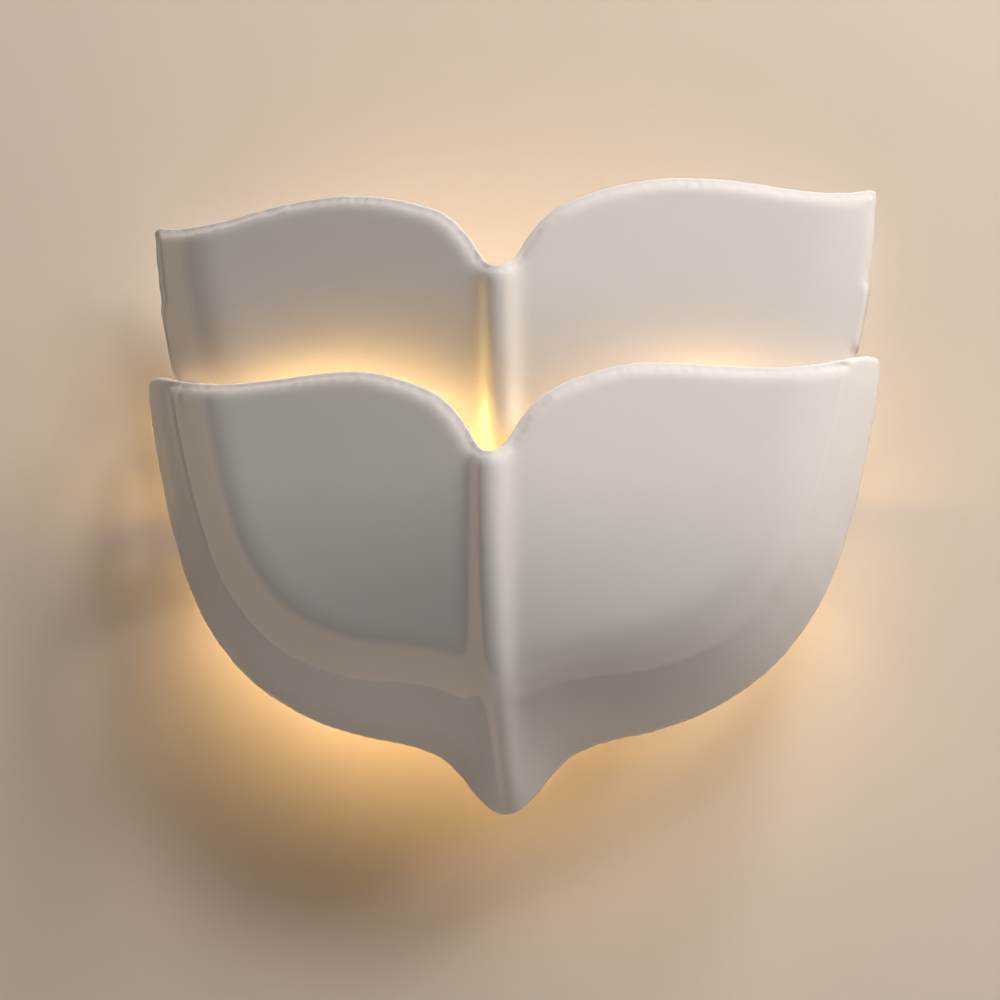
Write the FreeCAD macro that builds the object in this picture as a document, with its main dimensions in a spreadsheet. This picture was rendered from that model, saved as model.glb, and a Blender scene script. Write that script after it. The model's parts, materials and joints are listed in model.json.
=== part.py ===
import FreeCAD, Part
import math
import os

import Sketcher
from FreeCAD import Placement, Rotation, Vector

# Wall sconce with two glazed ceramic tiers. The wall is the plane y = 0, the light stands in front of it towards -y,
# +x is to the right and +z is up. The origin is the middle of the wall plate's back face. Lengths are millimetres.

SIZES = {
    # both ceramic tiers
    "shell_wall": 5.0,
    "rim_round": 2.0,
    "spine_blend": 7.0,
    "slope_step": 0.5,
    # lower tier, levels counted from the middle of the wall plate
    "lower_half_width": 161.0,
    "lower_corner_level": 59.5,
    "lower_notch_level": 1.4,
    "lower_tip_level": -141.5,
    "lower_gap_top": 26.0,
    "lower_gap_tip": 38.0,
    "lower_bulge": 72.0,
    "lower_roll": 45.0,
    "lower_flare": 8.0,
    "lower_spine_rise": 4.0,
    "lower_spine_half": 7.0,
    # upper tier
    "upper_half_width": 165.5,
    "upper_corner_level": 134.3,
    "upper_notch_level": 89.4,
    "upper_tip_level": -13.0,
    "upper_gap_top": 24.0,
    "upper_gap_tip": 24.0,
    "upper_bulge": 50.0,
    "upper_roll": 40.0,
    "upper_flare": 8.0,
    "upper_spine_rise": 4.0,
    "upper_spine_half": 7.0,
    "upper_skew": 3.0,
    # ceramic lugs that carry the threaded inserts
    "lug_height": 30.0,
    "lug_depth": 14.0,
    "lug_inset": 4.0,
    "lower_lug_level": -9.0,
    "upper_lug_level": 75.0,
    "lower_screw_inset": 29.0,
    "upper_screw_inset": 28.5,
    "screw_edge": 9.0,
    "screw_pitch": 16.0,
    "insert_radius": 2.9,
    "insert_depth": 9.0,
    # hanger frame
    "frame_back": 16.0,
    "frame_thick": 2.0,
    "strap_width": 16.0,
    "foot_low": -74.0,
    "foot_high": -58.0,
    "key_slot": 5.2,
    "key_hole": 10.0,
    "lift": 10.0,
    # wall plate and its studs
    "plate_width": 124.0,
    "plate_height": 90.0,
    "plate_thick": 1.5,
    "plate_edge": 6.5,
    "slot_spacing": 80.0,
    "slot_length": 12.0,
    "slot_width": 5.5,
    "cable_hole": 18.0,
    "stud_inset": 12.0,
    "stud_level": 28.0,
    "stud_radius": 4.5,
    "stud_neck": 4.6,
    "stud_head": 9.0,
    "stud_head_thick": 2.2,
    "stud_shank": 5.0,
    "gap": 0.3,
    # grommet
    "grommet_bore": 9.0,
    "grommet_flange": 22.0,
    "grommet_lip": 1.4,
    # terminal strip
    "strip_width": 34.0,
    "strip_height": 14.0,
    "strip_depth": 13.0,
    "strip_level": 24.0,
    "pole_pitch": 10.0,
    "pole_depth": 6.5,
    "sleeve_radius": 3.0,
    "sleeve_bore": 2.5,
    "clamp_radius": 1.5,
    "clamp_offset": 3.5,
    "clamp_head": 2.4,
    "clamp_head_thick": 1.5,
    "strip_screw": 1.5,
    # earth screw
    "earth_out": 28.0,
    "earth_level": -12.0,
    "earth_radius": 2.0,
    "earth_head": 4.0,
    "earth_head_thick": 2.6,
    "tag_thick": 0.8,
    "tag_radius": 4.5,
    "tag_reach": 7.0,
    # lamp bracket
    "bracket_level": -38.0,
    "bracket_thick": 1.5,
    "bracket_half": 30.0,
    "bracket_reach": 60.0,
    "bracket_rise": 20.0,
    "bracket_screw_out": 20.0,
    "bracket_screw_rise": 11.0,
    "bracket_screw_head": 3.6,
    # lampholders
    "holder_inner": 4.0,
    "holder_length": 28.0,
    "holder_height": 15.0,
    "holder_depth": 18.0,
    "lamp_forward": 49.0,
    "pin_pitch": 9.0,
    "pin_slot_high": 6.0,
    "pin_slot_wide": 2.5,
    "pin_slot_deep": 13.5,
    "contact_thick": 0.5,
    "contact_length": 9.0,
    "contact_high": 5.0,
    "holder_screw_out": 14.5,
    "holder_screw_side": 6.0,
    "small_screw": 1.5,
    "small_screw_length": 7.0,
    "small_head": 2.7,
    "small_head_thick": 2.0,
    # leads
    "lead_radius": 1.0,
    "lead_hole": 2.5,
    "lead_out": 8.0,
    "lead_side": 4.0,
    "lead_pair": 1.3,
    "lead_into": 4.0,
    "strip_into": 6.0,
    "neutral_turn": -4.0,
    "neutral_step": 14.0,
    "neutral_level": -24.0,
    "live_turn": -12.0,
    "live_step": 8.0,
    "live_level": -31.0,
    "earth_turn": 10.5,
    "earth_bend": 1.5,
    "earth_end": -7.0,
    # shell screws and washers
    "shell_screw": 2.0,
    "shell_screw_length": 10.0,
    "shell_head": 3.8,
    "shell_head_thick": 2.6,
    "washer_thick": 1.0,
    "washer_radius": 5.5,
    "screw_play": 0.25,
    # wall bumpers
    "bumper_radius": 5.0,
    # bulbs
    "bulb_radius": 8.0,
    "bulb_length": 36.0,
    "base_length": 10.0,
    "base_width": 15.0,
    "base_height": 11.0,
    "collar_length": 3.0,
    "pin_radius": 0.45,
    "pin_loop": 2.0,
    "pin_length": 12.0,
    "overrun": 1.0,
}

# Front outline of a tier's right half from its corner down to its tip: share of the half width, share of the drop.
LOWER_OUTLINE_SHARES = [
    (1.0, 0.0),
    (0.991, 0.09),
    (0.97, 0.177),
    (0.945, 0.27),
    (0.916, 0.36),
    (0.881, 0.45),
    (0.831, 0.545),
    (0.752, 0.642),
    (0.638, 0.73),
    (0.508, 0.79),
    (0.38, 0.825),
    (0.252, 0.848),
    (0.154, 0.886),
    (0.1, 0.94),
    (0.052, 0.983),
    (0.0, 1.0),
]
UPPER_OUTLINE_SHARES = [
    (1.0, 0.0),
    (0.988, 0.15),
    (0.968, 0.3),
    (0.94, 0.45),
    (0.902, 0.6),
    (0.845, 0.73),
    (0.765, 0.83),
    (0.65, 0.905),
    (0.5, 0.955),
    (0.3, 0.985),
    (0.0, 1.0),
]
# Rim of a tier's right half from the notch to past its corner: share of the half width, share of the rise.
LOWER_RIM_SHARES = [
    (0.0, 0.0),
    (0.015, 0.012),
    (0.03, 0.056),
    (0.06, 0.2),
    (0.1, 0.357),
    (0.15, 0.483),
    (0.2, 0.559),
    (0.28, 0.65),
    (0.36, 0.703),
    (0.45, 0.717),
    (0.55, 0.711),
    (0.65, 0.705),
    (0.75, 0.72),
    (0.85, 0.79),
    (0.92, 0.885),
    (0.955, 0.93),
    (0.98, 0.94),
    (1.0, 0.905),
    (1.012, 0.83),
    (1.018, 0.74),
    (1.02, 0.64),
]
UPPER_RIM_SHARES = [
    (0.0, 0.0),
    (0.015, 0.012),
    (0.03, 0.054),
    (0.06, 0.228),
    (0.1, 0.436),
    (0.15, 0.609),
    (0.2, 0.699),
    (0.28, 0.809),
    (0.36, 0.882),
    (0.45, 0.92),
    (0.55, 0.917),
    (0.65, 0.883),
    (0.75, 0.831),
    (0.85, 0.818),
    (0.92, 0.86),
    (0.955, 0.9),
    (0.98, 0.91),
    (1.0, 0.865),
    (1.012, 0.77),
    (1.018, 0.65),
    (1.02, 0.52),
]
# How a tier's face falls away to its sides and down its spine, and the powers of the curves of the fall, of the
# spine's rib and of the edge.
SWEEP_SHARES = {"lower": 0.6, "upper": 0.85}
FALL_SHARES = {"lower": 0.7, "upper": 0.45}
FALL_POWERS = {"lower": 2.2, "upper": 2.0}
RIB_POWER = 3
ROLL_POWER = 2.9
# Size of a lead's arcs, as a share of the shorter of the two runs that an arc joins.
ARC_SHARE = 0.45
GRID_COLUMNS = 26
GRID_ROWS = 34
GRID_POWER = 1.2
EDGE_POINTS = 241

doc = FreeCAD.newDocument("WallSconce")
sheet = doc.addObject("Spreadsheet::Sheet", "Sizes")
for row, (word, number) in enumerate(SIZES.items(), start=1):
    sheet.set("A%d" % row, word)
    sheet.set("B%d" % row, str(number))
    sheet.setAlias("B%d" % row, word)
doc.recompute()


class Size:
    """A length from the sheet or worked out from it: its value, and the expression that follows the sheet."""

    def __init__(self, number, text):
        self.value = number
        self.text = text

    def __add__(self, other):
        other = sized(other)
        return Size(self.value + other.value, "(%s + %s)" % (self.text, other.text))

    def __sub__(self, other):
        other = sized(other)
        return Size(self.value - other.value, "(%s - %s)" % (self.text, other.text))

    def __mul__(self, count):
        return Size(self.value * count, "(%s * %s)" % (self.text, count))

    def __truediv__(self, count):
        return Size(self.value / count, "(%s / %s)" % (self.text, count))

    def __neg__(self):
        return Size(-self.value, "(0 - %s)" % self.text)


def sized(thing):
    if isinstance(thing, Size):
        return thing
    return Size(thing, str(thing))


class SizeBook:
    """Reads the sheet by alias: of.plate_width is the size in the cell of that name."""

    def __getattr__(self, word):
        return Size(float(sheet.get(word)), "Sizes." + word)


of = SizeBook()
NODES = {}


def named(node, solid):
    """Keeps a finished sub-part under the name that its file gets."""
    solid.Label = node
    NODES[node] = solid
    return solid


def block(across, deep, high):
    """Box between two places on each axis."""
    solid = doc.addObject("Part::Box", "block")
    spans = (("Length", "x", across), ("Width", "y", deep), ("Height", "z", high))
    for side, axis, (low, top) in spans:
        low = sized(low)
        solid.setExpression(side, (sized(top) - low).text)
        solid.setExpression("Placement.Base." + axis, low.text)
    return solid


TURNS = {
    "x": Rotation(Vector(0, 1, 0), 90),
    "-x": Rotation(Vector(0, 1, 0), -90),
    "y": Rotation(Vector(1, 0, 0), -90),
    "-y": Rotation(Vector(1, 0, 0), 90),
    "z": Rotation(),
    "-z": Rotation(Vector(1, 0, 0), 180),
}


def place(solid, start):
    for axis, size in zip("xyz", start):
        solid.setExpression("Placement.Base." + axis, sized(size).text)


def rod(towards, start, radius, length):
    """Cylinder from a place along an axis."""
    solid = doc.addObject("Part::Cylinder", "rod")
    solid.Placement = Placement(Vector(), TURNS[towards])
    solid.setExpression("Radius", sized(radius).text)
    solid.setExpression("Height", sized(length).text)
    place(solid, start)
    return solid


def ball(centre, radius):
    solid = doc.addObject("Part::Sphere", "ball")
    solid.setExpression("Radius", radius.text)
    place(solid, centre)
    return solid


def cut(base, *tools):
    for tool in tools:
        result = doc.addObject("Part::Cut", "cut")
        result.Base = base
        result.Tool = tool
        base = result
    return base


def fuse(*solids):
    result = doc.addObject("Part::MultiFuse", "fuse")
    result.Shapes = list(solids)
    return result


def group(*solids):
    """Separate solids of one kind kept as one sub-part."""
    result = doc.addObject("Part::Compound", "group")
    result.Links = list(solids)
    return result


def shaped(shape):
    result = doc.addObject("Part::Feature", "shaped")
    result.Shape = shape
    return result


def body_with(node):
    body = doc.addObject("PartDesign::Body", "Body_" + node)
    return named(node, body)


def sketch_on(body, role, title, offset=None):
    """Empty sketch on one of the body's own origin planes, moved along that plane's normal by offset."""
    sketch = body.newObject("Sketcher::SketchObject", title)
    plane = [plane for plane in body.Origin.OriginFeatures if plane.Role == role][0]
    sketch.AttachmentSupport = [(plane, "")]
    sketch.MapMode = "FlatFace"
    if offset is not None:
        sketch.setExpression("AttachmentOffset.Base.z", offset.text)
    return sketch


def hold_point(sketch, geometry, point, across, up):
    """Ties one point of a sketch to two sizes counted from the sketch's origin."""
    for kind, size in (("DistanceX", across), ("DistanceY", up)):
        row = sketch.addConstraint(Sketcher.Constraint(kind, -1, 1, geometry, point, size.value))
        sketch.setExpression("Constraints[%d]" % row, size.text)


def draw_polygon(sketch, points):
    points = [(sized(across), sized(up)) for across, up in points]
    places = [Vector(across.value, up.value, 0) for across, up in points]
    first = sketch.GeometryCount
    count = len(places)
    for number in range(count):
        sketch.addGeometry(Part.LineSegment(places[number], places[(number + 1) % count]), False)
    for number in range(count):
        following = first + (number + 1) % count
        sketch.addConstraint(Sketcher.Constraint("Coincident", first + number, 2, following, 1))
    for number, (across, up) in enumerate(points):
        hold_point(sketch, first + number, 1, across, up)


def draw_box(sketch, across, up):
    (left, right) = across
    (low, high) = up
    draw_polygon(sketch, [(left, low), (right, low), (right, high), (left, high)])


def draw_circle(sketch, across, up, radius):
    across = sized(across)
    up = sized(up)
    centre = Vector(across.value, up.value, 0)
    number = sketch.addGeometry(Part.Circle(centre, Vector(0, 0, 1), radius.value), False)
    hold_point(sketch, number, 3, across, up)
    row = sketch.addConstraint(Sketcher.Constraint("Radius", number, radius.value))
    sketch.setExpression("Constraints[%d]" % row, radius.text)


def pad(body, sketch, length):
    feature = body.newObject("PartDesign::Pad", "pad")
    feature.Profile = sketch
    feature.setExpression("Length", length.text)
    return feature


def pocket(body, sketch, length):
    """Pocket towards the sketch's own side, which is the front for the planes that face the wall."""
    feature = body.newObject("PartDesign::Pocket", "pocket")
    feature.Profile = sketch
    feature.Reversed = True
    feature.setExpression("Length", length.text)
    return feature


def through(points):
    surface = Part.BSplineSurface()
    surface.interpolate(points)
    return surface


def between(outer, inner):
    """Solid between two surfaces with like borders."""
    (u0, u1, v0, v1) = outer.bounds()
    (s0, s1, t0, t1) = inner.bounds()
    borders = [
        (outer.uIso(u0), inner.uIso(s0)),
        (outer.uIso(u1), inner.uIso(s1)),
        (outer.vIso(v0), inner.vIso(t0)),
        (outer.vIso(v1), inner.vIso(t1)),
    ]
    faces = [outer.toShape(), inner.toShape()]
    for first, second in borders:
        faces.append(Part.makeRuledSurface(first.toShape(), second.toShape()))
    shell = Part.Shell(faces)
    shell.sewShape()
    solid = Part.Solid(shell)
    if solid.Volume < 0:
        solid.reverse()
    return solid


# Places that several pieces share.
frame_front = of.frame_back + of.frame_thick
lug_back = frame_front + of.washer_thick
plate_top = of.plate_height / 2
plate_side = of.plate_width / 2
stud_out = plate_side - of.stud_inset
strap_outer = stud_out + of.strap_width / 2
strap_inner = stud_out - of.strap_width / 2
lower_screw_out = of.lower_half_width - of.lower_screw_inset
upper_screw_out = of.upper_half_width - of.upper_screw_inset
holder_top = of.bracket_level - of.bracket_thick
lamp_level = holder_top - of.holder_height / 2
holder_mouth = of.holder_inner + of.holder_length
bracket_screw_level = of.bracket_level + of.bracket_screw_rise


class Tier:
    """Form of one ceramic tier: a bowl of two leaf wings, as its distance in front of the wall over the front view."""

    def __init__(self, name, outline_shares, rim_shares, skew):
        self.name = name
        self.half_width = self.read("half_width")
        self.corner = self.read("corner_level")
        self.notch = self.read("notch_level")
        self.tip = self.read("tip_level")
        self.gap_top = self.read("gap_top")
        self.gap_tip = self.read("gap_tip")
        self.bulge = self.read("bulge")
        self.roll = self.read("roll")
        self.flare = self.read("flare")
        self.spine_rise = self.read("spine_rise")
        self.spine_half = self.read("spine_half")
        self.blend = of.spine_blend.value
        self.wall = of.shell_wall.value
        drop = self.tip - self.corner
        right = [Vector(across * self.half_width, 0, self.corner + down * drop) for across, down in outline_shares]
        left = [Vector(-point.x, 0, point.z) for point in right]
        outline = Part.BSplineCurve()
        outline.interpolate(left[:-1] + right[::-1])
        self.outline = outline.discretize(Number=EDGE_POINTS)[EDGE_POINTS // 2 :]
        rise = self.corner - self.notch
        half_rim = [Vector(across * self.half_width, 0, self.notch + up * rise) for across, up in rim_shares]
        whole_rim = [Vector(-point.x, 0, point.z) for point in half_rim[:0:-1]] + half_rim
        self.rim = [Vector(point.x, 0, point.z + skew * point.x / self.half_width) for point in whole_rim]
        self.runs = self.edge_runs()
        self.make_faces()

    def read(self, word):
        return getattr(of, self.name + "_" + word).value

    def edge_runs(self):
        """Short straight runs of the right outline, in the spine's blended width, from above the corner to the tip."""
        places = [(self.blended(point.x), point.z) for point in self.outline[::-1]]
        places.insert(0, (places[0][0], places[0][1] + self.half_width))
        runs = []
        for (ax, az), (bx, bz) in zip(places[:-1], places[1:]):
            runs.append((ax, az, bx - ax, bz - az, (bx - ax) ** 2 + (bz - az) ** 2))
        return [run for run in runs if run[4] > 0]

    def blended(self, x):
        return math.hypot(x, self.blend) - self.blend

    def inside(self, reach, z):
        """How far a place lies inside the outline, negative outside it."""
        nearest = None
        sign = 1
        for ax, az, dx, dz, square in self.runs:
            px = reach - ax
            pz = z - az
            along = min(1, max(0, (px * dx + pz * dz) / square))
            away = (px - along * dx) ** 2 + (pz - along * dz) ** 2
            if nearest is None or away < nearest:
                nearest = away
                sign = -1 if dx * pz - dz * px > 0 else 1
        return sign * math.sqrt(nearest)

    def turned(self, inside):
        """Share of the full depth that the edge's roll leaves, carried on past the edge."""
        if inside >= self.roll:
            return 1
        if inside >= 0:
            return 1 - (1 - inside / self.roll) ** ROLL_POWER
        return -ROLL_POWER * self.flare / self.roll * (1 - math.exp(inside / self.flare))

    def gap(self, z):
        return self.gap_top + (self.gap_tip - self.gap_top) * (self.corner - z) / (self.corner - self.tip)

    def front(self, x, z):
        """Distance of the outer face from the wall."""
        reach = self.blended(x)
        fallen = max(0, (self.notch - z) / (self.notch - self.tip)) ** FALL_POWERS[self.name]
        face = (self.bulge - self.spine_rise) * (1 - FALL_SHARES[self.name] * fallen)
        face = face * (1 - SWEEP_SHARES[self.name] * reach / self.half_width)
        face = face + self.spine_rise * math.exp(-(abs(x / self.spine_half) ** RIB_POWER))
        return self.gap(z) + face * self.turned(self.inside(reach, z))

    def inwards(self, x, z):
        """Unit normal of the outer face, pointing towards the wall."""
        step = of.slope_step.value
        slope_x = (self.front(x + step, z) - self.front(x - step, z)) / (step + step)
        slope_z = (self.front(x, z + step) - self.front(x, z - step)) / (step + step)
        return Vector(slope_x, 1, slope_z).normalize()

    def make_faces(self):
        """Outer face, the face one wall behind it, the one between them and a flat one behind the wall plate."""
        margin = self.flare
        wide = self.half_width + margin
        half = [wide * (number / GRID_COLUMNS) ** GRID_POWER for number in range(GRID_COLUMNS + 1)]
        low = self.tip - margin
        high = max(point.z for point in self.rim) + margin
        rows = [low + (high - low) * number / GRID_ROWS for number in range(GRID_ROWS + 1)]
        outer = []
        middle = []
        inner = []
        flat = []
        for x in [-x for x in half[:0:-1]] + half:
            front = [Vector(x, -self.front(x, z), z) for z in rows]
            ways = [self.inwards(x, z) * self.wall for z in rows]
            outer.append(front)
            middle.append([point + way / 2 for point, way in zip(front, ways)])
            inner.append([point + way for point, way in zip(front, ways)])
            flat.append([Vector(point.x, self.wall, point.z) for point in middle[-1]])
        self.outer = through(outer)
        self.middle = through(middle)
        self.inner = through(inner)
        self.flat = through(flat)

    def solid(self):
        """Wall of the tier, cut to its wavy rim and to the plane of its back edge, with all edges rounded."""
        margin = self.flare
        wide = self.half_width + margin
        low = self.tip - margin
        high = max(point.z for point in self.rim) + margin
        slab = between(self.outer, self.inner)
        rim = Part.BSplineCurve()
        rim.interpolate(self.rim)
        start = self.rim[0]
        end = self.rim[-1]
        beyond = wide + margin
        below = low - margin
        above = high + margin
        corners = [end, Vector(beyond, 0, end.z), Vector(beyond, 0, below)]
        corners += [Vector(-beyond, 0, below), Vector(-beyond, 0, start.z), start]
        lines = [Part.makeLine(first, second) for first, second in zip(corners[:-1], corners[1:])]
        depth = self.gap_top + self.gap_tip + self.bulge
        kept = Part.Face(Part.Wire([rim.toShape()] + lines)).extrude(Vector(0, -depth, 0))
        back = [
            Vector(-beyond, depth, above),
            Vector(-beyond, -self.gap(above), above),
            Vector(-beyond, -self.gap(below), below),
            Vector(-beyond, depth, below),
        ]
        behind = Part.Face(Part.makePolygon(back + back[:1])).extrude(Vector(beyond + beyond, 0, 0))
        trimmed = slab.common(kept).cut(behind).Solids[0]
        return trimmed.makeFillet(of.rim_round.value, trimmed.Edges)

    def half_width_at(self, z):
        """Half width of the outline at a level."""
        for under, over in zip(self.outline[:-1], self.outline[1:]):
            if under.z <= z <= over.z:
                return under.x + (over.x - under.x) * (z - under.z) / (over.z - under.z)
        return self.half_width

    def lug(self, side, inner, level):
        """Moulded lug at one side of the shell, from the washers forward to the middle of the shell's wall."""
        half = of.lug_height.value / 2
        outline = [Vector(side * inner, 0, level - half)]
        for up in (level - half, level, level + half):
            outline.append(Vector(side * (self.half_width_at(up) - of.lug_inset.value), 0, up))
        outline.append(Vector(side * inner, 0, level + half))
        face = Part.Face(Part.makePolygon(outline + outline[:1]))
        face.translate(Vector(0, -lug_back.value, 0))
        lug = face.extrude(Vector(0, -of.lug_depth.value, 0))
        return lug.common(between(self.middle, self.flat))


def lug_places(out, level):
    """Across and level of one tier's four lug holes."""
    places = []
    for side in (-1, 1):
        for step in (-1, 1):
            places.append((out * side, level + of.screw_pitch * step / 2))
    return places


def make_shell(name, outline_shares, rim_shares, skew, level, out):
    tier = Tier(name, outline_shares, rim_shares, skew)
    shell = tier.solid()
    inner = out - of.screw_edge
    for side in (-1, 1):
        shell = shell.fuse(tier.lug(side, inner.value, level.value))
    for across, up in lug_places(out, level):
        start = Vector(across.value, -lug_back.value, up.value)
        shell = shell.cut(Part.makeCylinder(of.insert_radius.value, of.insert_depth.value, start, Vector(0, -1, 0)))
    return named(name + "_shell", shaped(shell.Solids[0]))


make_shell(
    "lower",
    LOWER_OUTLINE_SHARES,
    LOWER_RIM_SHARES,
    0,
    of.lower_lug_level,
    lower_screw_out,
)
make_shell(
    "upper",
    UPPER_OUTLINE_SHARES,
    UPPER_RIM_SHARES,
    of.upper_skew.value,
    of.upper_lug_level,
    upper_screw_out,
)


def make_shell_fixings(name, out, level):
    """Brass inserts in the lugs, silicone washers, and the screws that come through the frame from behind."""
    inserts = []
    screws = []
    washers = []
    for across, up in lug_places(out, level):
        lug_face = (across, -lug_back, up)
        sleeve = rod("-y", lug_face, of.insert_radius, of.insert_depth)
        inserts.append(cut(sleeve, rod("-y", lug_face, of.shell_screw, of.insert_depth)))
        frame_face = (across, -frame_front, up)
        ring = rod("-y", frame_face, of.washer_radius, of.washer_thick)
        washers.append(cut(ring, rod("-y", frame_face, of.shell_screw + of.screw_play, of.washer_thick)))
        frame_rear = (across, -of.frame_back, up)
        shank = rod("-y", frame_rear, of.shell_screw, of.shell_screw_length)
        screws.append(fuse(shank, rod("y", frame_rear, of.shell_head, of.shell_head_thick)))
    named(name + "_inserts", group(*inserts))
    named(name + "_washers", group(*washers))
    named(name + "_screws", group(*screws))


make_shell_fixings("lower", lower_screw_out, of.lower_lug_level)
make_shell_fixings("upper", upper_screw_out, of.upper_lug_level)


def stud_places():
    places = []
    for side in (-1, 1):
        for step in (-1, 1):
            places.append((stud_out * side, of.stud_level * step))
    return places


def make_frame():
    """Flat steel frame: two straps with keyholes, a foot, side arms for the lower tier and a bar for the upper."""
    body = body_with("hanger_frame")
    outline = sketch_on(body, "XZ_Plane", "frame_outline", of.frame_back)
    arm_low = of.lower_lug_level - of.lug_height / 2
    arm_high = of.lower_lug_level + of.lug_height / 2
    arm_end = lower_screw_out + of.screw_edge
    bar_low = of.upper_lug_level - of.lug_height / 2
    bar_high = of.upper_lug_level + of.lug_height / 2
    bar_end = upper_screw_out + of.screw_edge
    right = [
        (strap_outer, of.foot_low),
        (strap_outer, arm_low),
        (arm_end, arm_low),
        (arm_end, arm_high),
        (strap_outer, arm_high),
        (strap_outer, bar_low),
        (bar_end, bar_low),
        (bar_end, bar_high),
    ]
    left = [(-across, up) for across, up in right[::-1]]
    draw_polygon(outline, right + left)
    draw_box(outline, (-strap_inner, strap_inner), (of.foot_high, bar_low))
    pad(body, outline, of.frame_thick)
    holes = sketch_on(body, "XZ_Plane", "screw_holes", of.frame_back)
    for out, level in ((lower_screw_out, of.lower_lug_level), (upper_screw_out, of.upper_lug_level)):
        for across, up in lug_places(out, level):
            draw_circle(holes, across, up, of.shell_screw + of.screw_play)
    doc.recompute()
    pocket(body, holes, of.frame_thick)
    slots = sketch_on(body, "XZ_Plane", "key_slots", of.frame_back)
    for across, stud in stud_places():
        draw_box(slots, (across - of.key_slot / 2, across + of.key_slot / 2), (stud - of.lift, stud))
    doc.recompute()
    pocket(body, slots, of.frame_thick)
    lifted = [(across, stud - of.lift) for across, stud in stud_places()]
    for title, centres, radius in (
        ("slot_tops", stud_places(), of.key_slot / 2),
        ("key_holes", lifted, of.key_hole / 2),
    ):
        rounds = sketch_on(body, "XZ_Plane", title, of.frame_back)
        for across, up in centres:
            draw_circle(rounds, across, up, radius)
        doc.recompute()
        pocket(body, rounds, of.frame_thick)


make_frame()


def make_bumpers():
    """Silicone feet under the frame, out to the wall."""
    bumpers = []
    middle = (of.foot_low + of.foot_high) / 2
    for side in (-1, 1):
        start = (stud_out * side, -of.frame_back, middle)
        bumpers.append(rod("y", start, of.bumper_radius, of.frame_back - of.gap))
    named("wall_bumpers", group(*bumpers))


make_bumpers()


def make_plate():
    """Folded wall plate: a flat sheet with a low rim, screw slots, cable hole and tapped holes."""
    body = body_with("wall_plate")
    sheet_outline = sketch_on(body, "XZ_Plane", "sheet_outline")
    draw_box(sheet_outline, (-plate_side, plate_side), (-plate_top, plate_top))
    pad(body, sheet_outline, of.plate_thick)
    rim = sketch_on(body, "XZ_Plane", "folded_rim")
    draw_box(rim, (-plate_side, plate_side), (-plate_top, plate_top))
    inner_side = plate_side - of.plate_thick
    inner_top = plate_top - of.plate_thick
    draw_box(rim, (-inner_side, inner_side), (-inner_top, inner_top))
    pad(body, rim, of.plate_edge)
    holes = sketch_on(body, "XZ_Plane", "round_holes")
    draw_circle(holes, 0, 0, of.cable_hole / 2)
    for across, up in stud_places():
        draw_circle(holes, across, up, of.stud_shank / 2)
    for side in (-1, 1):
        draw_circle(holes, of.bracket_screw_out * side, bracket_screw_level, of.small_screw)
        draw_circle(holes, of.pole_pitch * side / 2, of.strip_level, of.strip_screw)
    draw_circle(holes, of.earth_out, of.earth_level, of.earth_radius)
    doc.recompute()
    pocket(body, holes, of.plate_thick)
    straight = of.slot_length / 2 - of.slot_width / 2
    slots = sketch_on(body, "XZ_Plane", "screw_slots")
    for side in (-1, 1):
        across = of.slot_spacing * side / 2
        draw_box(slots, (across - straight, across + straight), (-of.slot_width / 2, of.slot_width / 2))
    doc.recompute()
    pocket(body, slots, of.plate_thick)
    for title, way in (("slot_ends_left", -1), ("slot_ends_right", 1)):
        ends = sketch_on(body, "XZ_Plane", title)
        for side in (-1, 1):
            draw_circle(ends, of.slot_spacing * side / 2 + straight * way, 0, of.slot_width / 2)
        doc.recompute()
        pocket(body, ends, of.plate_thick)


make_plate()


def make_studs():
    """Shoulder studs: riveted shank, shoulder up to the frame, neck through it, head in front."""
    studs = []
    for across, up in stud_places():
        shank = rod("-y", (across, 0, up), of.stud_shank / 2, of.plate_thick)
        shoulder_length = of.frame_back - of.gap - of.plate_thick
        shoulder = rod("-y", (across, -of.plate_thick, up), of.stud_radius, shoulder_length)
        neck = rod("-y", (across, of.gap - of.frame_back, up), of.stud_neck / 2, of.frame_thick + of.gap * 2)
        head = rod("-y", (across, -frame_front - of.gap, up), of.stud_head / 2, of.stud_head_thick)
        studs.append(fuse(shank, shoulder, neck, head))
    named("hang_studs", group(*studs))


make_studs()


def make_grommet():
    """Rubber ring in the cable hole, with a lip in front of the sheet."""
    ring = rod("-y", (0, 0, 0), of.cable_hole / 2, of.plate_thick)
    lip = rod("-y", (0, -of.plate_thick, 0), of.grommet_flange / 2, of.grommet_lip)
    long_bore = of.plate_thick + of.grommet_lip + of.overrun * 2
    bore = rod("-y", (0, of.overrun, 0), of.grommet_bore / 2, long_bore)
    named("cable_grommet", cut(fuse(ring, lip), bore))


make_grommet()


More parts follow.
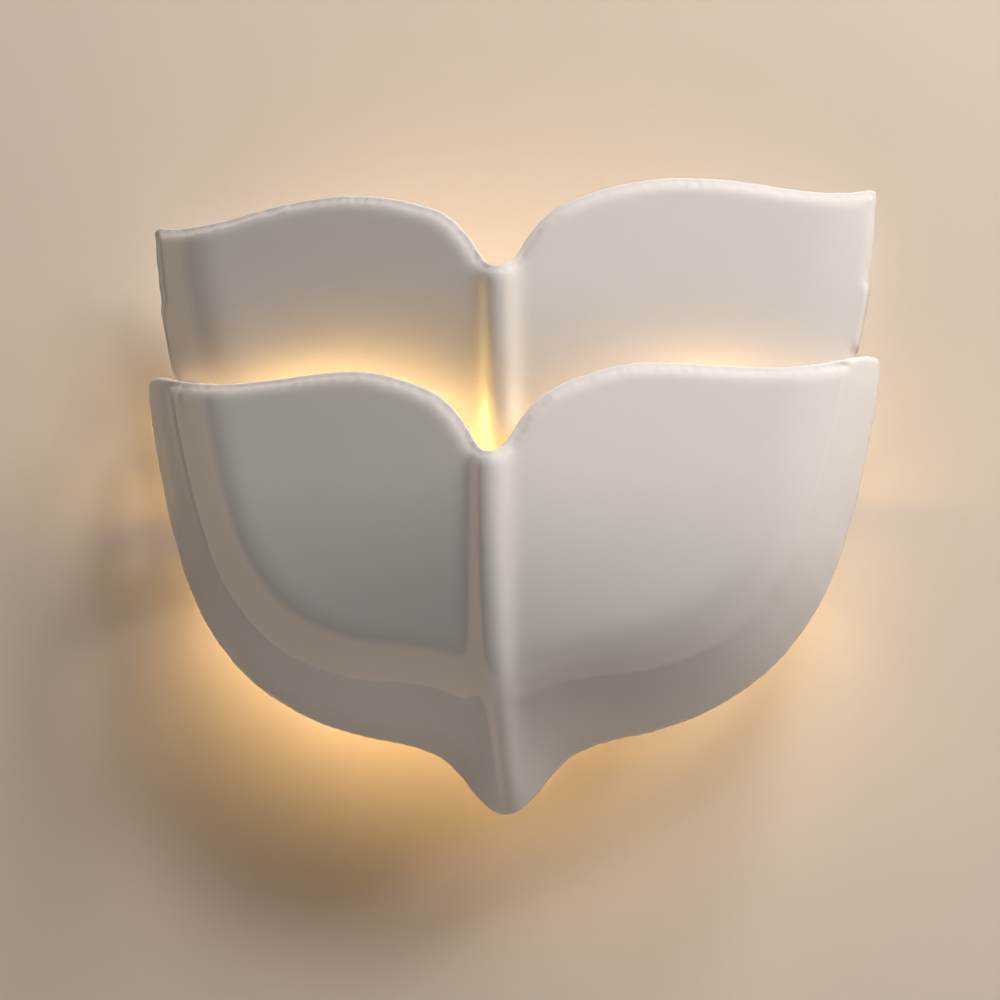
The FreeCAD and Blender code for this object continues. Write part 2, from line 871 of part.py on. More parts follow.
def make_terminals():
    """Strip with three poles, brass sleeves, clamp screws and the two screws that hold it to the plate."""
    low = of.strip_level - of.strip_height / 2
    high = of.strip_level + of.strip_height / 2
    axis = of.plate_thick + of.pole_depth
    front = of.plate_thick + of.strip_depth
    head_radius = of.clamp_head - of.screw_play
    strip = block((-of.strip_width / 2, of.strip_width / 2), (-front, -of.plate_thick), (low, high))
    cuts = []
    sleeves = []
    clamps = []
    for pole in (-1, 0, 1):
        across = of.pole_pitch * pole
        foot = (across, -axis, low)
        cuts.append(rod("z", foot, of.sleeve_radius, of.strip_height))
        sleeve = cut(
            rod("z", foot, of.sleeve_radius, of.strip_height),
            rod("z", foot, of.sleeve_bore, of.strip_height),
        )
        for step in (-1, 1):
            up = of.strip_level + of.clamp_offset * step
            sleeve = cut(sleeve, rod("-y", (across, -axis, up), of.clamp_radius, of.strip_depth))
            cuts.append(rod("-y", (across, -axis, up), of.clamp_head, of.strip_depth))
            tip = axis + of.sleeve_bore / 2
            neck = front - of.clamp_head_thick
            shank = rod("-y", (across, -tip, up), of.clamp_radius, neck - tip)
            clamps.append(fuse(shank, rod("-y", (across, -neck, up), head_radius, of.clamp_head_thick)))
        sleeves.append(sleeve)
    screws = []
    for side in (-1, 1):
        foot = (of.pole_pitch * side / 2, 0, of.strip_level)
        cuts.append(rod("-y", foot, of.strip_screw, front))
        top = (of.pole_pitch * side / 2, -front, of.strip_level)
        screws.append(fuse(rod("-y", foot, of.strip_screw, front), rod("-y", top, head_radius, of.clamp_head_thick)))
    named("terminal_block", cut(strip, *cuts))
    named("terminal_sleeves", group(*sleeves))
    named("terminal_screws", group(*clamps))
    named("block_screws", group(*screws))


make_terminals()


def make_earth():
    """Earth screw in the plate with the ring tag of its lead."""
    foot = (of.earth_out, 0, of.earth_level)
    face = (of.earth_out, -of.plate_thick, of.earth_level)
    over_tag = (of.earth_out, -of.plate_thick - of.tag_thick, of.earth_level)
    shank = rod("-y", foot, of.earth_radius, of.plate_thick + of.tag_thick)
    named("earth_screw", fuse(shank, rod("-y", over_tag, of.earth_head, of.earth_head_thick)))
    ring = rod("-y", face, of.tag_radius, of.tag_thick)
    tongue = block(
        (of.earth_out - of.lead_radius, of.earth_out + of.lead_radius),
        (-of.plate_thick - of.tag_thick, -of.plate_thick),
        (of.earth_level, of.earth_level + of.tag_reach),
    )
    named("earth_tag", cut(fuse(ring, tongue), rod("-y", face, of.earth_radius, of.tag_thick)))


make_earth()


def make_bracket():
    """Angle that stands on the plate and reaches forward over the two lampholders."""
    body = body_with("lamp_bracket")
    profile = sketch_on(body, "YZ_Plane", "angle_profile", -of.bracket_half)
    back = -of.plate_thick
    face = back - of.bracket_thick
    high = of.bracket_level + of.bracket_rise
    draw_polygon(
        profile,
        [
            (back, holder_top),
            (back, high),
            (face, high),
            (face, of.bracket_level),
            (-of.bracket_reach, of.bracket_level),
            (-of.bracket_reach, holder_top),
        ],
    )
    pad(body, profile, of.bracket_half * 2)
    screws = sketch_on(body, "XZ_Plane", "wall_screws", of.plate_thick)
    for side in (-1, 1):
        draw_circle(screws, of.bracket_screw_out * side, bracket_screw_level, of.small_screw + of.screw_play)
    doc.recompute()
    pocket(body, screws, of.bracket_thick)
    holes = sketch_on(body, "XY_Plane", "shelf_holes", holder_top)
    for side in (-1, 1):
        for step in (-1, 1):
            draw_circle(holes, of.lead_out * side, of.lead_side * step - of.lamp_forward, of.lead_hole)
            along = of.holder_screw_side * step - of.lamp_forward
            draw_circle(holes, of.holder_screw_out * side, along, of.small_screw + of.screw_play)
    doc.recompute()
    pocket(body, holes, of.bracket_thick)


make_bracket()


def make_bracket_screws():
    screws = []
    face = of.plate_thick + of.bracket_thick
    for side in (-1, 1):
        across = of.bracket_screw_out * side
        shank = rod("-y", (across, 0, bracket_screw_level), of.small_screw, face)
        head = rod("-y", (across, -face, bracket_screw_level), of.bracket_screw_head, of.small_head_thick)
        screws.append(fuse(shank, head))
    named("bracket_screws", group(*screws))


make_bracket_screws()


def span(side, near, far):
    """The stretch from near to far on the right side, or its mirror image on the left."""
    if side > 0:
        return (near, far)
    return (-far, -near)


def outwards(side):
    return "x" if side > 0 else "-x"


def make_holder(hand, side):
    """Ceramic lampholder under the bracket's shelf, with its two sprung contacts."""
    low = holder_top - of.holder_height
    deep = (-of.lamp_forward - of.holder_depth / 2, -of.lamp_forward + of.holder_depth / 2)
    holder = block(span(side, of.holder_inner, holder_mouth), deep, (low, holder_top))
    cuts = []
    contacts = []
    slot_start = holder_mouth - of.pin_slot_deep
    for step in (-1, 1):
        pin = of.pin_pitch * step / 2 - of.lamp_forward
        wide = (pin - of.pin_slot_wide / 2, pin + of.pin_slot_wide / 2)
        high = (lamp_level - of.pin_slot_high / 2, lamp_level + of.pin_slot_high / 2)
        cuts.append(block(span(side, slot_start, holder_mouth), wide, high))
        spring_high = (lamp_level - of.contact_high / 2, lamp_level + of.contact_high / 2)
        for edge, inner_face in ((wide[0], wide[0] + of.contact_thick), (wide[1] - of.contact_thick, wide[1])):
            reach = span(side, slot_start, slot_start + of.contact_length)
            contacts.append(block(reach, (edge, inner_face), spring_high))
        entry = (of.lead_out * side, of.lead_side * step - of.lamp_forward, holder_top - of.lead_into)
        cuts.append(rod("z", entry, of.lead_radius, of.lead_into))
        tap = (of.holder_screw_out * side, of.holder_screw_side * step - of.lamp_forward)
        cuts.append(rod("-z", (tap[0], tap[1], holder_top), of.small_screw, of.small_screw_length))
    named("holder_" + hand, cut(holder, *cuts))
    named("contacts_" + hand, group(*contacts))


def make_holder_screws():
    screws = []
    for side in (-1, 1):
        for step in (-1, 1):
            across = of.holder_screw_out * side
            along = of.holder_screw_side * step - of.lamp_forward
            top = (across, along, of.bracket_level)
            shank = rod("-z", top, of.small_screw, of.small_screw_length + of.bracket_thick)
            screws.append(fuse(shank, rod("z", top, of.small_head, of.small_head_thick)))
    named("holder_screws", group(*screws))


def make_bulb(hand, side):
    """Push-in capsule bulb: solid silicone capsule, moulded base and two wire loops."""
    base_start = holder_mouth + of.gap
    collar_start = base_start + of.base_length
    capsule_start = collar_start + of.collar_length
    straight = of.bulb_length - of.bulb_radius
    way = outwards(side)
    middle = -of.lamp_forward
    foot = block(
        span(side, base_start, collar_start),
        (middle - of.base_width / 2, middle + of.base_width / 2),
        (lamp_level - of.base_height / 2, lamp_level + of.base_height / 2),
    )
    collar = rod(way, (collar_start * side, middle, lamp_level), of.bulb_radius, of.collar_length)
    named("bulb_base_" + hand, fuse(foot, collar))
    start = (capsule_start * side, middle, lamp_level)
    end = ((capsule_start + straight) * side, middle, lamp_level)
    named("bulb_capsule_" + hand, fuse(rod(way, start, of.bulb_radius, straight), ball(end, of.bulb_radius)))
    pins = []
    for step in (-1, 1):
        pins.append(wire_loop(side, base_start.value, middle.value + of.pin_pitch.value * step / 2))
    named("bulb_pins_" + hand, shaped(Part.makeCompound(pins)))


def wire_loop(side, start, along):
    """Hairpin of round wire that points inwards from the bulb's base."""
    half = of.pin_loop.value
    level = lamp_level.value
    turn = start - of.pin_length.value + half
    high = Vector(side * start, along, level + half)
    high_turn = Vector(side * turn, along, level + half)
    tip = Vector(side * (turn - half), along, level)
    low_turn = Vector(side * turn, along, level - half)
    low = Vector(side * start, along, level - half)
    path = [
        Part.LineSegment(high, high_turn).toShape(),
        Part.Arc(high_turn, tip, low_turn).toShape(),
        Part.LineSegment(low_turn, low).toShape(),
    ]
    return tube(path, high, Vector(-side, 0, 0), of.pin_radius.value)


def tube(path, start, direction, radius):
    """Round solid along a path of tangent runs and arcs."""
    ring = Part.Wire([Part.makeCircle(radius, start, direction)])
    return Part.Wire(path).makePipeShell([ring], True, True)


def rounded_path(points):
    """Straight runs through the points, joined by tangent arcs as large as the two runs of each corner allow."""
    path = []
    radii = []
    start = points[0]
    for before, corner, after in zip(points[:-2], points[1:-1], points[2:]):
        arriving = (corner - before).normalize()
        leaving = (after - corner).normalize()
        turn = arriving.getAngle(leaving)
        setback = min((corner - before).Length, (after - corner).Length) * ARC_SHARE
        radius = setback / math.tan(turn / 2)
        radii.append(radius)
        first = corner - arriving * setback
        last = corner + leaving * setback
        inwards = (leaving - arriving).normalize()
        centre = corner + inwards * (radius / math.cos(turn / 2))
        path.append(Part.LineSegment(start, first).toShape())
        path.append(Part.Arc(first, centre - inwards * radius, last).toShape())
        start = last
    path.append(Part.LineSegment(start, points[-1]).toShape())
    print("arc radii", ", ".join("%.1f" % radius for radius in radii))
    return path


def make_lead(name, points):
    places = [Vector(across.value, along.value, up.value) for across, along, up in points]
    start = (places[1] - places[0]).normalize()
    named(name, shaped(tube(rounded_path(places), places[0], start, of.lead_radius.value)))


def make_leads():
    """Lamp leads from the strip down to the lampholders, and the earth lead to its tag."""
    axis = -of.plate_thick - of.pole_depth
    inside_strip = of.strip_level - of.strip_height / 2 + of.strip_into
    far = -of.lamp_forward - of.lead_side
    near = -of.lamp_forward + of.lead_side
    entry = holder_top - of.lead_into
    pair = of.lead_pair
    for hand, side in (("left", -1), ("right", 1)):
        pole = pair * side
        make_lead(
            "lead_neutral_" + hand,
            [
                (pole, axis, inside_strip),
                (pole, axis, of.neutral_turn),
                (of.lead_out * side, axis - of.neutral_step, of.neutral_level),
                (of.lead_out * side, far, of.neutral_level),
                (of.lead_out * side, far, entry),
            ],
        )
    live = -of.pole_pitch
    make_lead(
        "lead_live_left",
        [
            (live - pair, axis, inside_strip),
            (live - pair, axis, of.live_turn),
            (-of.lead_out, axis - of.live_step, of.live_level),
            (-of.lead_out, near, of.live_level),
            (-of.lead_out, near, entry),
        ],
    )
    make_lead(
        "lead_live_right",
        [
            (live + pair, axis, inside_strip),
            (live + pair, axis, of.live_turn),
            (of.lead_out, axis - of.live_step, of.live_level),
            (of.lead_out, near, of.live_level),
            (of.lead_out, near, entry),
        ],
    )
    tag_face = -of.plate_thick - of.tag_thick - of.lead_radius
    make_lead(
        "earth_lead",
        [
            (of.pole_pitch, axis, inside_strip),
            (of.pole_pitch, axis, of.earth_turn),
            (of.earth_out, tag_face, of.earth_bend),
            (of.earth_out, tag_face, of.earth_end),
        ],
    )


for hand, side in (("left", -1), ("right", 1)):
    make_holder(hand, side)
    make_bulb(hand, side)
make_holder_screws()
make_leads()

doc.recompute()
for item in doc.Objects:
    for state in ("Invalid", "Error"):
        if state in item.State:
            raise RuntimeError("%s of %s is %s" % (item.Name, item.Label, state))
for node, solid in NODES.items():
    if solid.Shape.isNull() or not solid.Shape.isValid() or not solid.Shape.Solids:
        raise RuntimeError("%s has no valid solid" % node)

os.makedirs("parts", exist_ok=True)
for node, solid in NODES.items():
    solid.Shape.exportStep("parts/%s.step" % node)
print(len(NODES), "sub-parts")
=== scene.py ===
import json
import math

import bpy
import numpy as np
from bpy.props import FloatProperty, FloatVectorProperty, IntProperty, PointerProperty
from mathutils import Matrix, Vector
from mathutils.kdtree import KDTree


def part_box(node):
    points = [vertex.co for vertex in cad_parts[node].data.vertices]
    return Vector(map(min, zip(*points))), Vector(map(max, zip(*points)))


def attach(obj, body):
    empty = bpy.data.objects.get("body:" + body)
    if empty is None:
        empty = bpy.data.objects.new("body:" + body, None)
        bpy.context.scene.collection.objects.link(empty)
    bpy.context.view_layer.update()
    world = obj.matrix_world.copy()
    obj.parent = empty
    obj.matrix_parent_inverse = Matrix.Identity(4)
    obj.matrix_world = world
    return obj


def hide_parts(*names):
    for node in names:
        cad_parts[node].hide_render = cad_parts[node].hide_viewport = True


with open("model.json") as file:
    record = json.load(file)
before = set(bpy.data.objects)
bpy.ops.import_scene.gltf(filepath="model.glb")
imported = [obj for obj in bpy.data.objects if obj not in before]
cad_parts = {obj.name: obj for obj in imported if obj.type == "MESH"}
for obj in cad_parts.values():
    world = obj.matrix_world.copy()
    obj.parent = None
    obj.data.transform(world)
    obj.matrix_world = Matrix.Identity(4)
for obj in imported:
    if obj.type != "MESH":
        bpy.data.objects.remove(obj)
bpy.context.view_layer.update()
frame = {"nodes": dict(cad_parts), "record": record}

bl_info = {
    "name": "Ceramic wall sconce",
    "version": (1, 0, 0),
    "blender": (4, 5, 0),
    "location": "View3D > Sidebar > Sconce",
    "description": "Glazed two-tier wall sconce with its lamps, steelwork and wiring",
    "category": "Object",
}

NODES = frame["nodes"]
SLOT_OF = {row["node"]: row["material_slot"] for row in frame["record"]["subparts"]}
BODY_OF = {node: body for body, nodes in frame["record"]["behaviour"]["bodies"].items() for node in nodes}
MM = 0.001
# Vertices nearer than this are one, in metres
WELD = 0.000005
# Angles in degrees: faces that differ by less are one flat, sharper edges are eased, and sharper edges than
# the last stay sharp in the shading
FLAT_ANGLE = 1
EASE_ANGLE = 40
SHARP_ANGLE = 32
EASE_SEGMENTS = 2

# Form of the two tiers in millimetres, as in the solids but for a softer rib along the spine
TIERS = {
    "lower": {
        "half_width": 161.0, "corner": 59.5, "notch": 1.4, "tip": -141.5,
        "gap_top": 26.0, "gap_tip": 38.0, "bulge": 72.0, "roll": 45.0,
        "flare": 8.0, "sweep": 0.6, "fall": 0.7, "power": 2.2,
        "outline": (
            (1.0, 0.0), (0.991, 0.09), (0.97, 0.177), (0.945, 0.27), (0.916, 0.36), (0.881, 0.45),
            (0.831, 0.545), (0.752, 0.642), (0.638, 0.73), (0.508, 0.79), (0.38, 0.825), (0.252, 0.848),
            (0.154, 0.886), (0.1, 0.94), (0.052, 0.983), (0.0, 1.0),
        ),
    },
    "upper": {
        "half_width": 165.5, "corner": 134.3, "notch": 89.4, "tip": -13.0,
        "gap_top": 24.0, "gap_tip": 24.0, "bulge": 50.0, "roll": 40.0,
        "flare": 8.0, "sweep": 0.85, "fall": 0.45, "power": 2.0,
        "outline": (
            (1.0, 0.0), (0.988, 0.15), (0.968, 0.3), (0.94, 0.45), (0.902, 0.6), (0.845, 0.73),
            (0.765, 0.83), (0.65, 0.905), (0.5, 0.955), (0.3, 0.985), (0.0, 1.0),
        ),
    },
}
SHELL_WALL = 5.0
SPINE_RISE = 3.3
SPINE_HALF = 7.5
RIB_POWER = 2.5
SPINE_BLEND = 7.0
ROLL_POWER = 2.9
OUTLINE_RUNS = 120
GRID_STEP = 1.0
GRID_MARGIN = 12.0
# Recess of a screw's head, as shares of the head's radius
DRIVE_SPAN = 1.15
DRIVE_WIDTH = 0.26
DRIVE_DEPTH = 0.4
# Soft edge of the glaze along the rim: how far it reaches in and how far it falls back, in millimetres
EDGE_REACH = 6.0
EDGE_FALL = 1.7
# Screws: the axis that they lie along, the end that their heads are at, bars of the recess, and the eased
# edge in millimetres
SCREWS = {
    "block_screws": (1, -1, 2, 0.3),
    "bracket_screws": (1, -1, 2, 0.3),
    "holder_screws": (2, 1, 2, 0.2),
    "lower_screws": (1, 1, 2, 0.4),
    "upper_screws": (1, 1, 2, 0.4),
    "terminal_screws": (1, -1, 1, 0.15),
    "earth_screw": (1, -1, 2, 0.3),
}
# Sheet pieces and studs: name and eased edge in millimetres
STEELWORK = {
    "wall_plate": ("plate_sheet", 0.45),
    "hanger_frame": ("frame_sheet", 0.45),
    "lamp_bracket": ("bracket_sheet", 0.35),
    "hang_studs": ("turned_studs", 0.4),
}
# Moulded, pressed and turned pieces: eased edge in millimetres
FITTINGS = {
    "holder_left": 0.5,
    "holder_right": 0.5,
    "bulb_base_left": 0.6,
    "bulb_base_right": 0.6,
    "terminal_block": 0.35,
    "cable_grommet": 0.4,
    "wall_bumpers": 0.8,
    "lower_washers": 0.25,
    "upper_washers": 0.25,
    "lower_inserts": 0.2,
    "upper_inserts": 0.2,
}
# Capsule: flutes round it, faces per flute, a flute's border and depth and the rounded end in millimetres,
# and that end's steps and angle
FLUTES = 14
FLUTE_FACES = 4
FLUTE_INSET = 0.15
FLUTE_DEPTH = 0.35
CAPSULE_ROUND = 2.6
CAPSULE_STEPS = 5
CAPSULE_ANGLE = 60
# How a tier's mesh is laid on its form: smoothing before it, where the form takes hold inside the outline
# and above the tip, in millimetres, what counts as an edge, and steps that even the edges and let them
# follow the faces
SOFTEN_SHARE, SOFTEN_STEPS = 0.5, 2
HOLD_FROM, HOLD_RUN = 5.0, 9.0
TIP_FROM, TIP_RUN = 38.0, 16.0
SIDEWAYS = 0.6
EDGE_BAND = 1.6
CAPTURE = 1.2
EVEN_STEPS = 50
EVEN_SHARES = (0.5, -0.52)
RIM_STEPS = 10
FOLLOW_STEPS = 24
LAST_STEPS = 3
DEPTH_STEPS = 6
# Width of the wiped edge at the back of the tiers, whose dark bare body also paints the shade there, and of
# its fade, in millimetres
WIPED_SHADED = 1.4
WIPED_SHADED_FADE = 0.4
# Glaze: scales of its clouds and slow waves and of the specks in the bare body, how dark a cloud is, the
# bare body's tones, dark so that they also paint the shade along the back edge, and its roughness, and
# the optics of the body and of the clear coat
CLOUD_SCALE = 14.0
WAVE_SCALE = 38.0
SPECK_SCALE = 900.0
CLOUD_SHADE = 0.97
# Bare body's tones: its own specks, made dark to paint the shade along the back edge
BARE_SHADED_TONES = ((0.50, 0.44, 0.37), (0.62, 0.56, 0.48))
BARE_ROUGHNESS = 0.75
BODY_INDEX = 1.5
COAT_INDEX = 1.6
COAT_ROUGHNESS = 0.03
# Lit capsule: rows of chips, how dark it is between them, and the unlit surface
CHIP_SCALE = 52.0
CHIP_SHADE = 0.72
CAPSULE_BASE = (0.9, 0.84, 0.72, 1)
CAPSULE_ROUGHNESS = 0.45
# Woven sleeves: turn of the two sets of threads in degrees, their scale, roughness and height in metres
BRAID_TURNS = (50, -50)
BRAID_SCALE = 420.0
BRAID_ROUGHNESS = 0.7
BRAID_HEIGHT = 0.00012
# Earth sleeve: its two tones, the band's scale and edge, its roughness and the scale of its grain
EARTH_TONES = ((0.10, 0.32, 0.06), (0.72, 0.66, 0.06))
BAND_SCALE = 90.0
BAND_EDGE = (0.58, 0.62)
SLEEVE_ROUGHNESS = 0.4
SLEEVE_GRAIN = 700.0
# Plain finishes: how far the roughness swings, how much finer the grain is than the tones, and its usual
# height in metres
ROUGH_SWING = 0.06
GRAIN_TIMES = 9
GRAIN_HEIGHT = 0.00002

# Middle of the light, which the soft boxes face
MIDDLE = (0, -0.05, 0)
# Soft boxes: degrees to the right and up, metres away, side in metres, watts
SOFT_BOXES = (
    (65, 30, 2.3, 1.0, 29.0),
    (25, 50, 2.3, 1.0, 16.0),
    (60, 65, 2.3, 0.5, 30.0),
    (40, 40, 2.3, 0.5, 7.6),
    (60, 20, 2.3, 0.5, 5.2),
    (35, 45, 2.3, 0.5, 4.0),
    (-30, -60, 1.3, 0.8, 3.2),
    (160, 25, 2.0, 1.0, 16.0),
)
# Small card that shows only as a fine highlight along the rims
CARD = (60, 65, 2.3, 0.25, 1.5)
# The photograph's camera: degrees to the right, up and rolled, metres away, where it looks, and lens and
# film in millimetres
CAMERA_YAW, CAMERA_PITCH, CAMERA_ROLL = 6.58, -13.39, 0.08
CAMERA_FAR = 1.263
CAMERA_TARGET = (-0.0016, -0.05, -0.0074)
CAMERA_LENS = 108.0
CAMERA_FILM = 36.0
# Wall: how far behind the light's back it lies, in metres, and its paint
WALL_GAP = 0.0006
PAINT_SCALE = 3.0
PAINT_SHADE = 0.985
PAINT_ROUGHNESS = 0.85
PAINT_SHINE = 0.05
# Light of the plain room
ROOM_COLOR = (0.95, 0.93, 0.90, 1)
# The dark side of the room as the glaze shows it: its direction and how sharply it ends
DARK_SIDE = (0.12, -0.92, 0.37)
DARK_EDGE = (0.30, 0.46)
# The bright side is dimmer to the right: its share there, and where it fades
RIGHT_SHARE = 0.4
GLINT_FADE = (-0.3, 0.3)
# Lamp light inside the tiers: place and radius in millimetres, watts
GLOW_POINTS = (
    (-50, -24, 26, 14, 0.18),
    (-20, -34, 40, 12, 0.07),
    (-58, -62, -45, 10, 0.150),
    (58, -55, -45, 10, 0.085),
    (-90, -50, 20, 8, 0.113),
    (90, -50, 20, 8, 0.085),
    (-60, -60, 10, 8, 0.086),
)


# Selecting and shaping

def only(piece):
    """Selects one piece alone and makes it active."""
    bpy.ops.object.select_all(action="DESELECT")
    piece.select_set(True)
    bpy.context.view_layer.objects.active = piece
    return piece


def copy_of(node, name):
    """A welded copy of a CAD node, to be shaped further."""
    mesh = NODES[node].data.copy()
    mesh.materials.clear()
    piece = bpy.data.objects.new(name, mesh)
    bpy.context.scene.collection.objects.link(piece)
    only(piece)
    bpy.ops.object.mode_set(mode="EDIT")
    bpy.ops.mesh.select_all(action="SELECT")
    bpy.ops.mesh.remove_doubles(threshold=WELD)
    bpy.ops.object.mode_set(mode="OBJECT")
    return piece


def apply_modifier(piece, kind, **settings):
    only(piece)
    modifier = piece.modifiers.new(kind.lower(), kind)
    for key, value in settings.items():
        setattr(modifier, key, value)
    bpy.ops.object.modifier_apply(modifier=modifier.name)


def shade(piece):
    """Smooth shading that stays flat on the flats and turns only at the eased edges."""
    only(piece)
    bpy.ops.object.shade_smooth_by_angle(angle=math.radians(SHARP_ANGLE))
    apply_modifier(piece, "WEIGHTED_NORMAL", mode="FACE_AREA", weight=100, keep_sharp=True)


def finish_piece(piece, body, slot, material, *nodes):
    """Gives a piece its material, hides the CAD nodes that it stands for, and lets it ride on its body."""
    piece.data.materials.clear()
    piece.data.materials.append(material)
    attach(piece, body)
    if nodes:
        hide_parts(*nodes)
    return piece


def dress(node, name, look, ease):
    """A copy of a CAD node with its flats made whole and its edges eased by so many millimetres."""
    piece = copy_of(node, name)
    bpy.ops.object.mode_set(mode="EDIT")
    bpy.ops.mesh.select_all(action="SELECT")
    bpy.ops.mesh.dissolve_limited(angle_limit=math.radians(FLAT_ANGLE))
    bpy.ops.object.mode_set(mode="OBJECT")
    apply_modifier(
        piece, "BEVEL", width=ease * MM, segments=EASE_SEGMENTS, limit_method="ANGLE",
        angle_limit=math.radians(EASE_ANGLE),
    )
    shade(piece)
    return finish_piece(piece, BODY_OF[node], SLOT_OF[node], finish_of(node, look), node)


def loose_boxes(piece):
    """Lowest and highest corner of each separate solid in a piece."""
    mesh = piece.data
    places = np.zeros(len(mesh.vertices) * 3)
    mesh.vertices.foreach_get("co", places)
    places = places.reshape(-1, 3)
    ends = np.zeros(len(mesh.edges) * 2, int)
    mesh.edges.foreach_get("vertices", ends)
    first, second = ends.reshape(-1, 2).T
    label = np.arange(len(places))
    while True:
        least = label.copy()
        np.minimum.at(least, first, label[second])
        np.minimum.at(least, second, label[first])
        if (least == label).all():
            break
        label = least
    return [(places[label == one].min(0), places[label == one].max(0)) for one in np.unique(label)]


def cut_drives(piece, axis, way, bars):
    """Cuts a slot, or a cross of two, into each screw's head, at the end of the axis that way points to."""
    across = [other for other in range(3) if other != axis]
    cutters = []
    for low, high in loose_boxes(piece):
        middle = (low + high) / 2
        radius = (high - low)[across].max() / 2
        middle[axis] = high[axis] if way > 0 else low[axis]
        for bar in range(bars):
            size = np.zeros(3)
            size[axis] = radius * DRIVE_DEPTH * 2
            size[across[bar]] = radius * (DRIVE_SPAN if bars > 1 else DRIVE_SPAN * 2)
            size[across[1 - bar]] = radius * DRIVE_WIDTH
            bpy.ops.object.select_all(action="DESELECT")
            bpy.ops.mesh.primitive_cube_add(size=1, location=middle, scale=size)
            cutters.append(bpy.context.object)
    bpy.ops.object.select_all(action="DESELECT")
    for cutter in cutters:
        cutter.select_set(True)
    bpy.ops.object.transform_apply(location=True, rotation=True, scale=True)
    bpy.ops.object.join()
    cutter = bpy.context.object
    apply_modifier(piece, "BOOLEAN", operation="DIFFERENCE", solver="EXACT", use_self=True, object=cutter)
    bpy.data.objects.remove(cutter)
    shade(piece)


# Form of the glazed tiers

def spline_through(points, count):
    """Smooth curve through points, as many places along it as asked."""
    points = np.array(points, float)
    steps = np.linalg.norm(np.diff(points, axis=0), axis=1)
    knots = np.concatenate([[0], np.cumsum(steps)])
    size = len(points)
    system = np.zeros((size, size))
    right = np.zeros((size, 2))
    system[0, 0] = system[-1, -1] = 1
    for row in range(1, size - 1):
        before, after = steps[row - 1], steps[row]
        system[row, row - 1: row + 2] = before, 2 * (before + after), after
        slope = (points[row + 1] - points[row]) / after - (points[row] - points[row - 1]) / before
        right[row] = 6 * slope
    bend = np.linalg.solve(system, right)
    places = np.linspace(0, knots[-1], count)
    run = np.clip(np.searchsorted(knots, places, side="right") - 1, 0, size - 2)
    width = steps[run][:, None]
    after = (places - knots[run])[:, None]
    before = width - after
    start, end = bend[run], bend[run + 1]
    return (
        start * before ** 3 / (6 * width) + end * after ** 3 / (6 * width)
        + (points[run] / width - start * width / 6) * before
        + (points[run + 1] / width - end * width / 6) * after
    )


